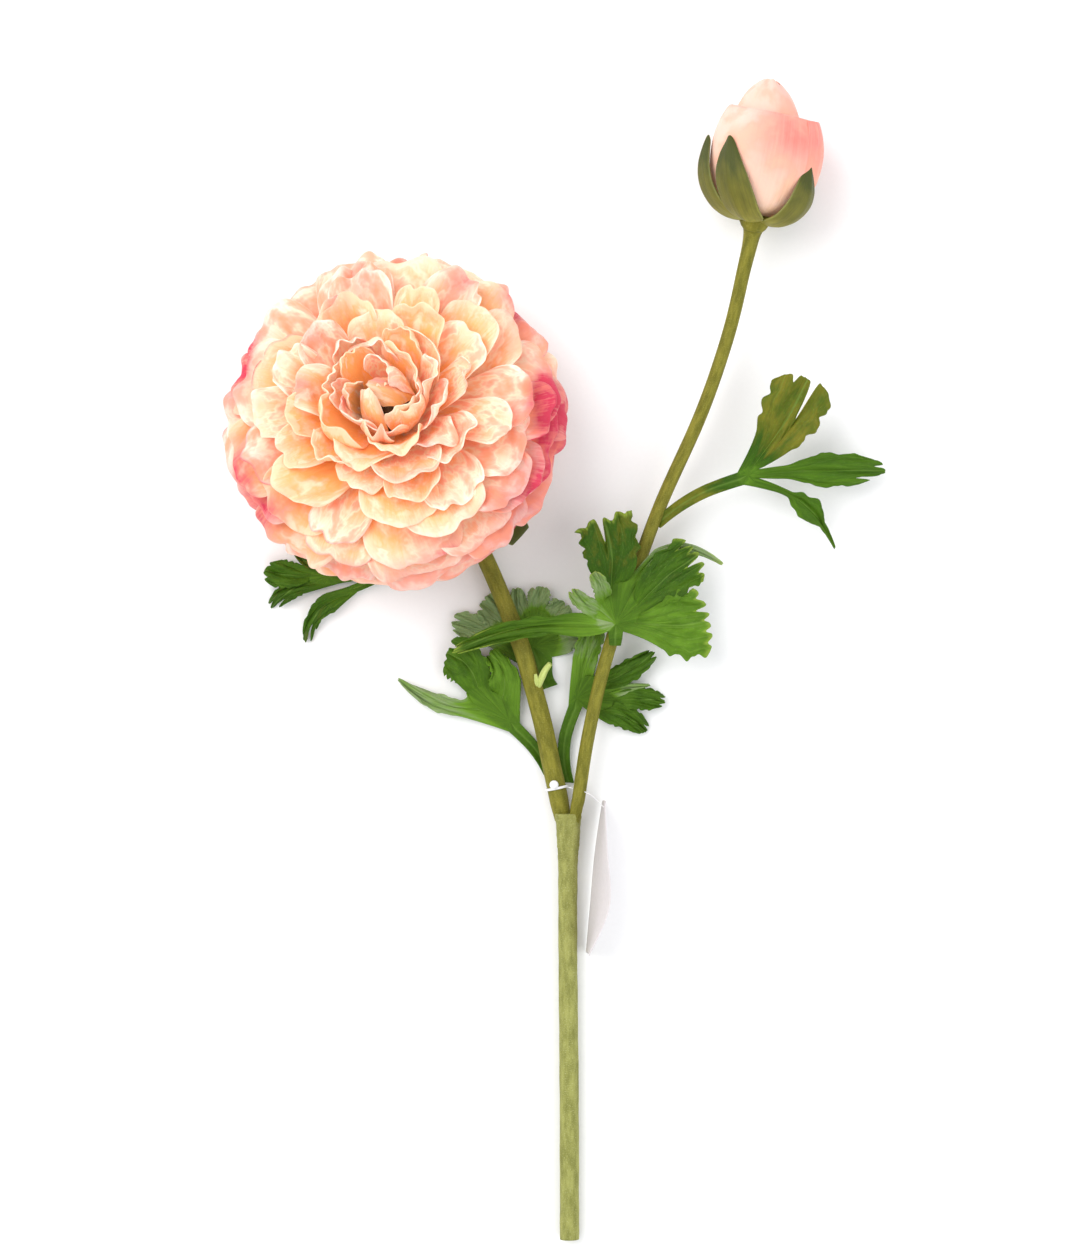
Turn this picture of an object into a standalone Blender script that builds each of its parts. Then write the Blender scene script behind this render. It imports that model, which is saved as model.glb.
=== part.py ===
"""A cut ranunculus spray: one open double bloom, one bud, three stems and six lobed leaves.

The spray lies on a surface, with the bloom's face turned up.
Frame: +X to the right, +Y from the cut end towards the flowers, +Z up from the surface.
The origin is on the surface, under the middle of the spray's bounding box.
Dimensions are in millimetres, and become metres where a mesh is made.
"""

import math
from collections import namedtuple

import bpy
from mathutils import Matrix, Vector

MM = 0.001
GAP = 0.35  # clearance between two pieces that touch
FULL_TURN = 2 * math.pi

# ---------------------------------------------------------------- driving dimensions

BLOOM_RADIUS = 50.0
BLOOM_CROWN = 23.0  # height of the dome above the bloom's widest level
BLOOM_SKIRT = 38.0  # the same below it, were the skirt petals to close underneath
BLOOM_WIDEST = 15.0  # height of the widest level above the receptacle's foot
BLOOM_BASE = Vector((-46.9, 69.0, 17.3))  # the receptacle's foot
BLOOM_TILT = math.radians(15)  # the bloom's axis leans this far from straight up
BLOOM_LEAN_TO = math.radians(106)  # compass direction of that lean, from +X

PETAL_BELLIES = ((16, 28), (36, 34), (64, 12))  # (radius, height) a petal bows towards: heart, half open, skirt
PETAL_THICKNESS = 0.5
PETAL_OVERLAP = 0.62  # half a petal's angular width, in spacings of its ring
PETAL_TWISTS = (1.4, 2.3)  # a petal lies this far over its neighbour, in the heart and in the skirt
RINGS = ("heart", "inner", "upper", "middle", "lower", "skirt")
HEART_PETALS = 3  # each ring has one petal more than the ring inside it

BUD_LENGTH = 44.0
BUD_RADIUS = 15.6
BUD_BASE = Vector((58.8, 130.2, 16.6))
BUD_HEADING = math.radians(79)
BUD_PITCH = math.radians(7)
BUD_INNER_PETALS, BUD_OUTER_PETALS = 2, 3

SEPALS = 5
SEPAL_THICKNESS = 0.8
LEAF_THICKNESS = 0.6

TAG_LENGTH, TAG_WIDTH, TAG_THICKNESS = 45.0, 21.0, 0.5

STEM_SIDES = 12

# Centre lines of the three stems: (x, y, z, radius), from the cut end upwards.
MAIN_STEM = (
    (4.0, -174.3, 2.9, 2.9),
    (3.9, -131.0, 3.3, 2.9),
    (3.5, -88.0, 3.9, 2.85),
    (3.5, -62.0, 4.6, 2.95),
    (3.6, -54.0, 5.0, 3.5),
    (3.6, -45.6, 5.4, 3.75),
)
FLOWER_BRANCH = (
    (1.6, -44.9, 4.2, 2.2),
    (0.9, -42.0, 4.3, 2.85),
    (-1.2, -32.0, 4.7, 2.85),
    (-5.0, -15.0, 5.2, 2.8),
    (-10.2, 3.6, 5.4, 2.7),
    (-16.0, 18.6, 5.4, 2.6),
    (-23.0, 34.5, 5.3, 2.6),
    (-32.0, 50.0, 5.6, 2.6),
    (-39.4, 60.6, 7.6, 2.6),
    (-44.6, 66.8, 11.6, 2.6),
)
# The receptacle, where the branch swells under the petals: (height along the bloom's axis, radius).
RECEPTACLE = ((0, 3.2), (2, 6.5), (4, 8.6), (7, 8.4), (10, 7.4), (13, 6.2), (16, 4.6), (18, 2.6), (18.8, 1.0))
PETAL_FOOT_LOW, PETAL_FOOT_HIGH = 4.0, 16.0  # the skirt ring's foot and the heart ring's
BUD_BRANCH = (
    (6.6, -45.1, 6.9, 1.4),
    (6.8, -42.0, 7.1, 2.0),
    (8.6, -28.0, 7.9, 2.0),
    (11.8, -11.4, 8.4, 2.0),
    (16.8, 7.2, 9.2, 2.0),
    (24.0, 27.9, 10.2, 2.0),
    (31.8, 48.6, 11.2, 2.0),
    (42.6, 72.6, 12.4, 2.0),
    (51.0, 96.6, 13.6, 2.0),
    (56.2, 118.0, 14.8, 2.1),
    (58.3, 127.6, 15.5, 2.6),
)
BUD_RECEPTACLE = ((0, 4.2), (1.6, 5.4), (3.6, 5.0), (5.0, 3.0), (5.6, 1.0))

# A leaf is a stalk, a palm and lobes that fan out from it, listed anticlockwise from the stalk.
# bow and arch: how far a lobe's or a stalk's middle stands left of, and above, a straight run.
Lobe = namedtuple("Lobe", "tip width neck bow arch")
Leaf = namedtuple("Leaf", "name base palm stalk_width bow arch web lobes")

LEAVES = (
    Leaf("leaf_under_bloom", (-26.4, 25.6, 4.2), (-62.0, 27.0, 1.6), 3.2, -2.0, -0.6, 3.6, (
        Lobe((-87.0, 28.5, 2.6), 8.0, 5.0, 1.0, 1.5),
        Lobe((-85.5, 17.5, 1.0), 6.5, 4.0, -1.0, 1.2),
        Lobe((-73.5, 6.5, 0.6), 5.5, 3.4, 2.0, 0.8),
    )),
    Leaf("leaf_behind_branch", (-2.8, -6.6, 3.4), (-1.2, 3.4, 1.2), 4.4, 0.0, -0.6, 5.5, (
        Lobe((10.5, 14.5, 2.2), 6.5, 7.0, 0.5, 0.6),
        Lobe((2.0, 20.6, 3.4), 9.0, 7.0, -0.5, 1.0),
        Lobe((-14.0, 14.0, 1.2), 7.0, 7.0, 0.0, -0.2),
        Lobe((-29.5, 14.0, 2.2), 9.5, 7.0, -1.5, -0.6),
        Lobe((-24.5, -4.0, 1.0), 6.5, 6.0, 0.0, -0.2),
    )),
    Leaf("leaf_over_branches", (17.4, 5.6, 11.9), (17.4, 12.0, 12.4), 5.0, 0.0, 0.2, 6.5, (
        Lobe((45.5, 8.0, 12.0), 17.0, 8.0, -2.0, 2.2),
        Lobe((48.8, 30.0, 10.6), 5.0, 4.0, 1.0, 1.4),
        Lobe((38.0, 31.5, 13.6), 10.0, 6.0, 1.5, 2.0),
        Lobe((17.2, 43.0, 16.0), 13.5, 10.0, -1.5, 1.0),
        Lobe((4.4, 22.4, 13.2), 5.0, 5.0, 0.0, 1.2),
        Lobe((-30.8, 2.6, 8.6), 9.0, 9.0, 3.0, 2.4),
    )),
    Leaf("leaf_low_left", (-2.4, -33.4, 0.9), (-15.5, -18.0, 2.4), 4.4, -1.6, 0.0, 6.0, (
        Lobe((-22.0, 2.0, 4.6), 8.5, 8.0, -1.0, 1.4),
        Lobe((-38.7, -0.2, 3.6), 9.5, 8.0, -1.0, 1.6),
        Lobe((-47.3, -6.4, 2.2), 6.5, 6.0, 3.0, 1.0),
    )),
    Leaf("leaf_low_right", (4.4, -36.6, 1.7), (5.6, -10.6, 3.0), 5.0, -1.0, 0.2, 6.5, (
        Lobe((24.5, -20.4, 1.4), 7.5, 6.0, 1.0, 0.6),
        Lobe((32.4, -12.2, 2.6), 8.5, 6.0, 1.0, 0.8),
        Lobe((27.8, -6.6, 4.0), 4.0, 4.5, 0.0, 0.2),
        Lobe((29.0, 2.6, 4.8), 8.0, 7.0, -1.5, 0.6),
        Lobe((13.0, 14.0, 5.4), 9.0, 8.0, 0.0, 0.2),
    )),
    Leaf("leaf_below_bud", (34.2, 43.4, 10.9), (52.5, 55.2, 12.4), 3.8, 1.6, 1.6, 4.0, (
        Lobe((83.0, 35.6, 3.4), 5.0, 4.0, 4.5, 3.2),
        Lobe((98.2, 55.2, 6.0), 9.5, 5.0, 4.0, 3.0),
        Lobe((74.7, 85.2, 17.4), 14.0, 5.5, -1.0, 1.8),
    )),
)


# ---------------------------------------------------------------- helpers


def clear_scene():
    for obj in list(bpy.data.objects):
        bpy.data.objects.remove(obj, do_unlink=True)


def material(name, color, roughness=0.6):
    made = bpy.data.materials.new(name)
    made.use_nodes = True
    shader = made.node_tree.nodes["Principled BSDF"]
    shader.inputs["Base Color"].default_value = (*color, 1.0)
    shader.inputs["Roughness"].default_value = roughness
    shader.inputs["Metallic"].default_value = 0.0
    return made


def add_mesh(name, points, faces, finish):
    """A mesh object from points in millimetres."""
    mesh = bpy.data.meshes.new(name)
    mesh.from_pydata([Vector(p) * MM for p in points], [], faces)
    mesh.materials.append(finish)
    made = bpy.data.objects.new(name, mesh)
    bpy.context.scene.collection.objects.link(made)
    return made


def thicken(sheet, thickness):
    """Makes an open sheet a closed solid, with the sheet at its mid-thickness."""
    solid = sheet.modifiers.new("thickness", "SOLIDIFY")
    solid.thickness = thickness * MM
    solid.offset = 0


def grid_faces(rows, columns):
    """Quads of a grid whose points are listed row by row."""
    corners = ((r * columns + c) for r in range(rows - 1) for c in range(columns - 1))
    return [(i, i + 1, i + columns + 1, i + columns) for i in corners]


def mix(a, b, t):
    return a + (b - a) * t


def smooth(t):
    t = min(max(t, 0.0), 1.0)
    return t * t * (3 - 2 * t)


def bent(start, middle, end, t):
    """A point on the quadratic curve with this control point."""
    return [(1 - t) ** 2 * a + 2 * t * (1 - t) * b + t * t * c for a, b, c in zip(start, middle, end)]


def along(curve_points, t):
    """A point at t in [0, 1] on the Catmull-Rom curve through the points, equal steps between them."""
    last = len(curve_points) - 1
    at = min(int(t * last), last - 1)
    u = t * last - at
    a, b, c, d = (curve_points[min(max(at + k, 0), last)] for k in (-1, 0, 1, 2))
    return [
        0.5 * (2 * q + (r - p) * u + (2 * p - 5 * q + 4 * r - s) * u**2 + (3 * q - p - 3 * r + s) * u**3)
        for p, q, r, s in zip(a, b, c, d)
    ]


def axis_frame(origin, direction):
    """Puts a shape made around +Z at the origin, with its +Z along the direction."""
    return Matrix.Translation(origin) @ direction.to_track_quat("Z", "Y").to_matrix().to_4x4()


# ---------------------------------------------------------------- stems


def sweep(name, line, steps, finish):
    """A closed round stem through (x, y, z, radius) points."""
    rings = [along(line, i / steps) for i in range(steps + 1)]
    centres = [Vector(ring[:3]) for ring in rings]
    points = []
    side = Vector((1, 0, 0))
    for i, centre in enumerate(centres):
        forward = (centres[min(i + 1, steps)] - centres[max(i - 1, 0)]).normalized()
        side = (side - forward * side.dot(forward)).normalized()
        over = forward.cross(side)
        for k in range(STEM_SIDES):
            turn = FULL_TURN * k / STEM_SIDES
            points.append(centre + (side * math.cos(turn) + over * math.sin(turn)) * rings[i][3])
    faces = []
    for i in range(steps):
        for k in range(STEM_SIDES):
            a, b = i * STEM_SIDES + k, i * STEM_SIDES + (k + 1) % STEM_SIDES
            faces.append((a, b, b + STEM_SIDES, a + STEM_SIDES))
    faces.append(tuple(reversed(range(STEM_SIDES))))
    faces.append(tuple(range(steps * STEM_SIDES, (steps + 1) * STEM_SIDES)))
    return add_mesh(name, points, faces, finish)


def swollen_end(profile, frame):
    """A receptacle's (x, y, z, radius) points, from its (height, radius) profile."""
    return tuple((*(frame @ Vector((0, 0, height))), radius) for height, radius in profile)


def make_stems(finish, bloom_frame, bud_frame):
    sweep("main_stem", MAIN_STEM, 14, finish)
    sweep("flower_branch", FLOWER_BRANCH + swollen_end(RECEPTACLE, bloom_frame), 36, finish)
    sweep("bud_branch", BUD_BRANCH + swollen_end(BUD_RECEPTACLE, bud_frame), 30, finish)


# ---------------------------------------------------------------- petals and sepals


def revolved_sheet(name, frame, profile, shape, finish, across=8, lengthways=7):
    """A petal on a surface of revolution, closed and thickened.

    profile(t) is (radius, height) at t in [0, 1] from its foot to its tip.
    shape has the angle of its middle, its angular half-width at t, how much its tip is rounded,
    its lift over its neighbour for each radian, and its thickness.
    """
    step = 1e-3
    points = []
    for row in range(lengthways + 1):
        for column in range(across + 1):
            a = 2 * column / across - 1
            t = (row / lengthways) * (1 - shape.rounding * abs(a) ** 2.5)
            radius, height = profile(t)
            ahead = profile(t + step)
            run, rise = ahead[0] - radius, ahead[1] - height
            length = math.hypot(run, rise)
            turn = a * shape.half_width(t)
            lift = turn * shape.lift
            radius += lift * rise / length
            height -= lift * run / length
            angle = shape.middle + turn
            points.append(frame @ Vector((radius * math.cos(angle), radius * math.sin(angle), height)))
    sheet = add_mesh(name, points, grid_faces(lengthways + 1, across + 1), finish)
    thicken(sheet, shape.thickness)
    return sheet


SheetShape = namedtuple("SheetShape", "middle half_width rounding lift thickness")


def widening(foot, full, foot_radius, opened_at):
    """Angular half-width that grows from a narrow foot, in millimetres, to its full angle."""
    narrow = foot / foot_radius
    return lambda t: mix(narrow, full, smooth(t / opened_at))


def receptacle_radius(height):
    for (low, r_low), (high, r_high) in zip(RECEPTACLE, RECEPTACLE[1:]):
        if height <= high:
            return mix(r_low, r_high, (height - low) / (high - low))
    return RECEPTACLE[-1][1]


def bloom_profile(openness):
    """The lengthways curve of a ring's petals: upright at openness 0, a drooping skirt at 1."""
    foot_height = mix(PETAL_FOOT_HIGH, PETAL_FOOT_LOW, openness)
    foot = (receptacle_radius(foot_height) + GAP + 0.3, foot_height)
    belly = bent(*PETAL_BELLIES, openness)
    turn = math.radians(mix(8, 125, openness))
    depth = BLOOM_CROWN if math.cos(turn) > 0 else BLOOM_SKIRT
    rim = (BLOOM_RADIUS * math.sin(turn), BLOOM_WIDEST + depth * math.cos(turn))
    return foot, lambda t: bent(foot, belly, rim, t)


def make_bloom(frame, finishes, sepal_finish):
    last = len(RINGS) - 1
    for ring, ring_name in enumerate(RINGS):
        count = HEART_PETALS + ring
        spacing = FULL_TURN / count
        foot, profile = bloom_profile(ring / last)
        half_width = widening(2.6, PETAL_OVERLAP * spacing, foot[0], 0.6)
        twist = mix(*PETAL_TWISTS, ring / last)
        for k in range(count):
            middle = (k + 0.37 * ring) * spacing
            shape = SheetShape(middle, half_width, 0.28, twist / spacing, PETAL_THICKNESS)
            revolved_sheet(f"petal_{ring_name}_{k + 1}", frame, profile, shape, finishes[ring])
    make_bloom_sepals(frame, sepal_finish)


def make_bloom_sepals(frame, finish):
    foot = (receptacle_radius(1.2) + GAP + 0.4, 0.9)
    for k in range(SEPALS):
        middle = (k + 0.5) * FULL_TURN / SEPALS
        shape = SheetShape(middle, lambda t: mix(0.42, 0.2, t), 0.55, 0.0, SEPAL_THICKNESS)
        revolved_sheet(
            f"bloom_sepal_{k + 1}", frame, lambda t: bent(foot, (18, 2.0), (27, -4.0), t), shape, finish, 4, 5
        )


def make_bud(frame, petal_finish, sepal_finish):
    """Two petals rolled to a point, three wrapped round them, and the calyx that holds them."""
    tip = BUD_LENGTH
    for k in range(BUD_INNER_PETALS):
        spacing = FULL_TURN / BUD_INNER_PETALS
        shape = SheetShape(k * spacing + 0.6, widening(2.4, 0.62 * spacing, 5, 0.4), 0.1, 1.5 / spacing, 0.5)
        line = ((5.0, 7.0), (9.6, 14), (11.6, 23), (9.4, 33), (4.0, 41), (1.6, tip))
        revolved_sheet(f"bud_inner_petal_{k + 1}", frame, lambda t, line=line: along(line, t), shape, petal_finish)
    for k in range(BUD_OUTER_PETALS):
        spacing = FULL_TURN / BUD_OUTER_PETALS
        shape = SheetShape(k * spacing, widening(2.6, 0.62 * spacing, 6, 0.4), 0.1, 1.3 / spacing, 0.5)
        line = ((5.9, 4.4), (11.5, 7.5), (BUD_RADIUS - 0.6, 15), (BUD_RADIUS, 23), (13.4, 31), (11.6, 35.5))
        revolved_sheet(f"bud_outer_petal_{k + 1}", frame, lambda t, line=line: along(line, t), shape, petal_finish)
    for k in range(SEPALS):
        middle = (k + 0.5) * FULL_TURN / SEPALS
        shape = SheetShape(middle, lambda t: mix(0.5, 0.34, t), 0.5, 0.0, SEPAL_THICKNESS)
        line = ((6.8, 1.8), (12.0, 3.1), (16.8, 8.8), (18.5, 16.5), (18.0, 24), (16.4, 29))
        revolved_sheet(
            f"bud_sepal_{k + 1}", frame, lambda t, line=line: along(line, t), shape, sepal_finish, 4, 6
        )


# ---------------------------------------------------------------- leaves


def bowed(start, end, bow, arch, t):
    """A point on the run from start to end, bowed to its left and arched up at its middle."""
    start, end = Vector(start), Vector(end)
    run = (end - start).to_2d().normalized()
    hump = 4 * t * (1 - t)
    return start.lerp(end, t) + Vector((-run.y, run.x, 0)) * bow * hump + Vector((0, 0, arch * hump))


def lobe_half_width(lobe, t):
    """Wedge-shaped: it widens to three quarters of the way, then closes on toothed edges."""
    width = mix(lobe.neck, lobe.width, smooth(t / 0.7)) * (1 if t < 0.78 else mix(1.0, 0.3, (t - 0.78) / 0.22))
    return width / 2


def make_leaf(leaf, finish):
    """One sheet: points of the stalk, the palm and each lobe, joined where they meet."""
    points, faces = [], []

    def add(point):
        points.append(point)
        return len(points) - 1

    palm, base = Vector(leaf.palm), Vector(leaf.base)
    headings = [math.atan2(lobe.tip[1] - palm.y, lobe.tip[0] - palm.x) for lobe in leaf.lobes]
    back = math.atan2(base.y - palm.y, base.x - palm.x)
    headings = [back + (h - back) % FULL_TURN for h in headings]

    def round_palm(heading, reach):
        return palm + Vector((math.cos(heading), math.sin(heading), 0)) * reach

    middle = add(palm)
    first = add(round_palm(back + 0.75, leaf.web * 0.75))
    final = add(round_palm(back - 0.75, leaf.web * 0.75))
    notches = [first]
    notches += [add(round_palm((a + b) / 2, leaf.web)) for a, b in zip(headings, headings[1:])]
    notches.append(final)

    stalk_rows = 5
    entry = add(round_palm(back, leaf.web * 0.9))
    faces += [(middle, entry, first), (middle, final, entry)]
    previous = (final, entry, first)
    for row in range(1, stalk_rows + 1):
        t = row / stalk_rows
        spot = bowed(points[entry], base, -leaf.bow, leaf.arch, t)
        run = (base - palm).to_2d().normalized()
        side = Vector((-run.y, run.x, 0)) * leaf.stalk_width / 2
        current = (add(spot - side), add(spot), add(spot + side))
        faces += [(previous[0], current[0], current[1], previous[1])]
        faces += [(previous[1], current[1], current[2], previous[2])]
        previous = current

    rows = 7
    for i, (lobe, heading) in enumerate(zip(leaf.lobes, headings)):
        root = add(round_palm(heading, leaf.web * 1.15))
        right, left = notches[i], notches[i + 1]
        faces += [(middle, right, root), (middle, root, left)]
        previous = (right, root, left)
        for row in range(1, rows + 1):
            t = row / rows
            spot = bowed(points[root], lobe.tip, lobe.bow, lobe.arch, t)
            ahead = bowed(points[root], lobe.tip, lobe.bow, lobe.arch, t + 0.01) - spot
            across = Vector((-ahead.y, ahead.x, 0)).normalized()
            tooth = 1.14 if row % 2 else 0.86
            half = lobe_half_width(lobe, t) * (tooth if t > 0.4 else 1)
            current = (add(spot - across * half), add(spot), add(spot + across * half))
            faces += [(previous[0], current[0], current[1], previous[1])]
            faces += [(previous[1], current[1], current[2], previous[2])]
            previous = current
    thicken(add_mesh(leaf.name, points, faces, finish), LEAF_THICKNESS)


# ---------------------------------------------------------------- tag


def make_tag(card_finish, loop_finish):
    """A blank card that stands on its long edge beside the stem, and the loop that holds it."""
    lean = math.radians(76)
    foot = Vector((9.6, -88.0, TAG_THICKNESS))
    top = foot + Vector((4.6, 42.6, 6.0)).normalized() * TAG_LENGTH
    up = Vector((math.cos(lean) * 0.95, -0.12, math.sin(lean))).normalized() * TAG_WIDTH
    points = [foot, foot.lerp(top, 0.5), top, top + up * 0.45, foot.lerp(top, 0.5) + up, foot + up * 0.7]
    points[3] = top + up * 0.62
    card = add_mesh("tag_card", points, [(0, 1, 4, 5), (1, 2, 3, 4)], card_finish)
    thicken(card, TAG_THICKNESS)
    ring_centre = Vector((0.05, -38.0, 4.5))
    ring_axis = Vector((-0.2, 1, 0.03)).normalized()
    frame = axis_frame(ring_centre, ring_axis)
    rows, sides, inner, thick = 24, 6, 2.85 + 1.5 * GAP, 0.5
    points = []
    for i in range(rows):
        turn = FULL_TURN * i / rows
        for k in range(sides):
            around = FULL_TURN * k / sides
            reach = inner + thick + thick * math.cos(around)
            spot = Vector((reach * math.cos(turn), reach * math.sin(turn), thick * math.sin(around)))
            points.append(frame @ spot)
    faces = []
    for i in range(rows):
        for k in range(sides):
            a, b = i * sides + k, i * sides + (k + 1) % sides
            c, d = ((i + 1) % rows) * sides + (k + 1) % sides, ((i + 1) % rows) * sides + k
            faces.append((a, d, c, b))
    add_mesh("tag_loop", points, faces, loop_finish)


# ---------------------------------------------------------------- the spray


def main():
    clear_scene()
    stem = material("stem_green", (0.30, 0.31, 0.09), 0.55)
    leaf = material("leaf_green", (0.09, 0.22, 0.05), 0.6)
    sepal = material("sepal_green", (0.20, 0.24, 0.07), 0.6)
    inner = material("petal_apricot", (0.92, 0.62, 0.33), 0.7)
    outer = material("petal_peach", (0.93, 0.62, 0.50), 0.7)
    skirt = material("petal_rose", (0.90, 0.45, 0.42), 0.7)
    bud = material("petal_bud", (0.92, 0.55, 0.45), 0.65)
    card = material("tag_card", (0.85, 0.83, 0.83), 0.6)
    loop = material("tag_loop", (0.88, 0.88, 0.88), 0.35)

    lean = Vector((math.cos(BLOOM_LEAN_TO), math.sin(BLOOM_LEAN_TO), 0)) * math.sin(BLOOM_TILT)
    bloom_frame = axis_frame(BLOOM_BASE, lean + Vector((0, 0, math.cos(BLOOM_TILT))))
    flat = math.cos(BUD_PITCH)
    bud_axis = Vector((flat * math.cos(BUD_HEADING), flat * math.sin(BUD_HEADING), math.sin(BUD_PITCH)))
    bud_frame = axis_frame(BUD_BASE, bud_axis)

    make_stems(stem, bloom_frame, bud_frame)
    make_bloom(bloom_frame, (inner, inner, inner, outer, outer, skirt), sepal)
    make_bud(bud_frame, bud, sepal)
    for spec in LEAVES:
        make_leaf(spec, leaf)
    make_tag(card, loop)


main()
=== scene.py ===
"""The ranunculus spray as it is seen: ruffled petals, toothed leaves and speckled stems.

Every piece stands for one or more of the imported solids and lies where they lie.
Lengths in the tables are in millimetres, and become metres where a mesh is made.
"""

import math
from collections import namedtuple

import bpy
import numpy as np
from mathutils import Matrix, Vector


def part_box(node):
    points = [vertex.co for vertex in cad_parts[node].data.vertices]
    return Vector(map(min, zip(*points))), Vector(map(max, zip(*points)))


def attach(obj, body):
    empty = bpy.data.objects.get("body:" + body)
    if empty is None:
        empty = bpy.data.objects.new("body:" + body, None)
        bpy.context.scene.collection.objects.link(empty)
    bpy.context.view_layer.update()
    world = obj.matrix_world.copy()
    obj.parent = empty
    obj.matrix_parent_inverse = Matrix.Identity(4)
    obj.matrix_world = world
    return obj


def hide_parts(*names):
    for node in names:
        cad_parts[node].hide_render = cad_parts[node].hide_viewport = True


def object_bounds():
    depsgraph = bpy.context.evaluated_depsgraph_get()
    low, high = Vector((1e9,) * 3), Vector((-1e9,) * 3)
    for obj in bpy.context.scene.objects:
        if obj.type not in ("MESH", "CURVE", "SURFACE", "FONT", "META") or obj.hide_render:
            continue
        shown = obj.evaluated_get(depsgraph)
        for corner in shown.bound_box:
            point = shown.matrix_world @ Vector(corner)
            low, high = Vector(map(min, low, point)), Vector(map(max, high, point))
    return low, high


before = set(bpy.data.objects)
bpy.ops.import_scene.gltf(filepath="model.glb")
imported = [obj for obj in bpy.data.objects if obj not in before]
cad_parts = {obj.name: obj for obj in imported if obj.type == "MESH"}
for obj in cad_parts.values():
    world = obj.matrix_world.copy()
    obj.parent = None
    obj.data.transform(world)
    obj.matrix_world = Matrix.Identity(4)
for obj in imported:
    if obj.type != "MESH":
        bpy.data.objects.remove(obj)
CAD_BOX = [list(corner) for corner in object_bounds()]
MM = 0.001
FULL_TURN = 2 * math.pi

# ---------------------------------------------------------------- sizes and counts

RINGS = ("heart", "inner", "upper", "middle", "lower", "skirt")
HEART_FOOT = 16.0  # height of the heart petals' feet above the receptacle's foot
SKIRT_FOOT = 4.0
PETAL_THICKNESS = 0.42
PETAL_PAINTED_GLOW = 0.06  # painted glow: the share of its own colour that a petal gives off, in place of the light that comes through it from its other side
BUD_LENGTH = 44.0
LEAF_THICKNESS = 0.5
SCATTER_SCALE = 0.0035  # metres that light spreads inside a petal or a leaf
FLOOR_HALF = 3000.0
VIEW_MARGIN = 1.084  # the picture's height over the object's
VIEW_SHIFT = (-0.0058, 0.0102)  # of the camera from the object's middle, in metres
VIEW_LIFT = 0.010


# ---------------------------------------------------------------- small helpers


def mix(a, b, t):
    return a + (b - a) * t


def smooth(t):
    t = np.clip(t, 0.0, 1.0)
    return t * t * (3 - 2 * t)


def bent(start, middle, end, t):
    """Points on the quadratic curve with this control point, for an array of t."""
    t = np.asarray(t)[..., None]
    start, middle, end = (np.asarray(p, float) for p in (start, middle, end))
    return (1 - t) ** 2 * start + 2 * t * (1 - t) * middle + t * t * end


def along(points, t):
    """Points on the Catmull-Rom curve through the points, for an array of t in [0, 1]."""
    points = np.asarray(points, float)
    last = len(points) - 1
    place = np.clip(np.asarray(t, float), 0, 1) * last
    at = np.minimum(place.astype(int), last - 1)
    u = (place - at)[..., None]
    p, q, r, s = (points[np.clip(at + k, 0, last)] for k in (-1, 0, 1, 2))
    return 0.5 * (2 * q + (r - p) * u + (2 * p - 5 * q + 4 * r - s) * u**2 + (3 * q - p - 3 * r + s) * u**3)


def bump(distance, width):
    """A soft hill, 1 in its middle."""
    return np.exp(-((distance / width) ** 2))


def wavy(seed, places, octaves=3):
    """Smooth seeded noise in about [-1, 1] over an array of places."""
    rng = np.random.default_rng(seed)
    total = np.zeros_like(np.asarray(places, float))
    for octave in range(octaves):
        turn, pace = rng.uniform(0, FULL_TURN), rng.uniform(0.8, 1.25) * 2**octave
        total += np.sin(places * pace * math.pi + turn) / 1.7**octave
    return total / 1.6


def heading_run(heading):
    return np.array([math.cos(heading), math.sin(heading), 0])


def left_of(run):
    return np.array([-run[1], run[0], 0])


def sheet_grid(rows, columns):
    """v from 0 to 1 down the rows and a from -1 to 1 across the columns."""
    return np.meshgrid(np.linspace(0, 1, rows), np.linspace(-1, 1, columns), indexing="ij")


def stood_off(curve, ahead, offset):
    """The radius and height of points that stand off a (radius, height) curve."""
    step = ahead - curve
    step /= np.linalg.norm(step, axis=-1, keepdims=True) + 1e-9
    return curve[..., 0] + offset * step[..., 1], curve[..., 1] - offset * step[..., 0]


def round_axis(radius, height, angle):
    return np.stack([radius * np.cos(angle), radius * np.sin(angle), height], -1)


def grid_faces(rows, columns, offset=0):
    corners = (offset + r * columns + c for r in range(rows - 1) for c in range(columns - 1))
    return [(i, i + 1, i + columns + 1, i + columns) for i in corners]


def add_object(name, data):
    made = bpy.data.objects.new(name, data)
    bpy.context.scene.collection.objects.link(made)
    return made


def add_mesh(name, points, faces, material, values=None, uv=None):
    """A smooth mesh from points in millimetres, with named values at its points."""
    points = np.asarray(points, float).reshape(-1, 3)
    mesh = bpy.data.meshes.new(name)
    mesh.from_pydata((points * MM).tolist(), [], faces)
    for key, field in (values or {}).items():
        attribute = mesh.attributes.new(key, "FLOAT", "POINT")
        attribute.data.foreach_set("value", np.asarray(field, np.float32).ravel())
    if uv is not None:
        layer = mesh.uv_layers.new(name="Wrap")
        flat = np.asarray(uv, np.float32).reshape(-1, 2)
        corners = np.empty(len(mesh.loops), np.int32)
        mesh.loops.foreach_get("vertex_index", corners)
        layer.data.foreach_set("uv", flat[corners].ravel())
    mesh.materials.append(material)
    mesh.shade_smooth()
    return add_object(name, mesh)


def thicken(piece, thickness):
    """Closes a sheet into a thin solid with a rounded rim."""
    solid = piece.modifiers.new("thickness", "SOLIDIFY")
    solid.thickness = thickness * MM
    solid.offset = 0
    rounded = piece.modifiers.new("rounded", "SUBSURF")
    rounded.levels = rounded.render_levels = 1
    return piece


def weld(piece, distance):
    """Joins the points of a piece that lie within this many millimetres of each other."""
    piece.modifiers.new("weld", "WELD").merge_threshold = distance * MM


def place(piece, slot, *nodes):
    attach(piece, "root")
    if nodes:
        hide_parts(*nodes)
    return piece


def nodes_named(start):
    return sorted(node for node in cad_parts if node.startswith(start))


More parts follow.
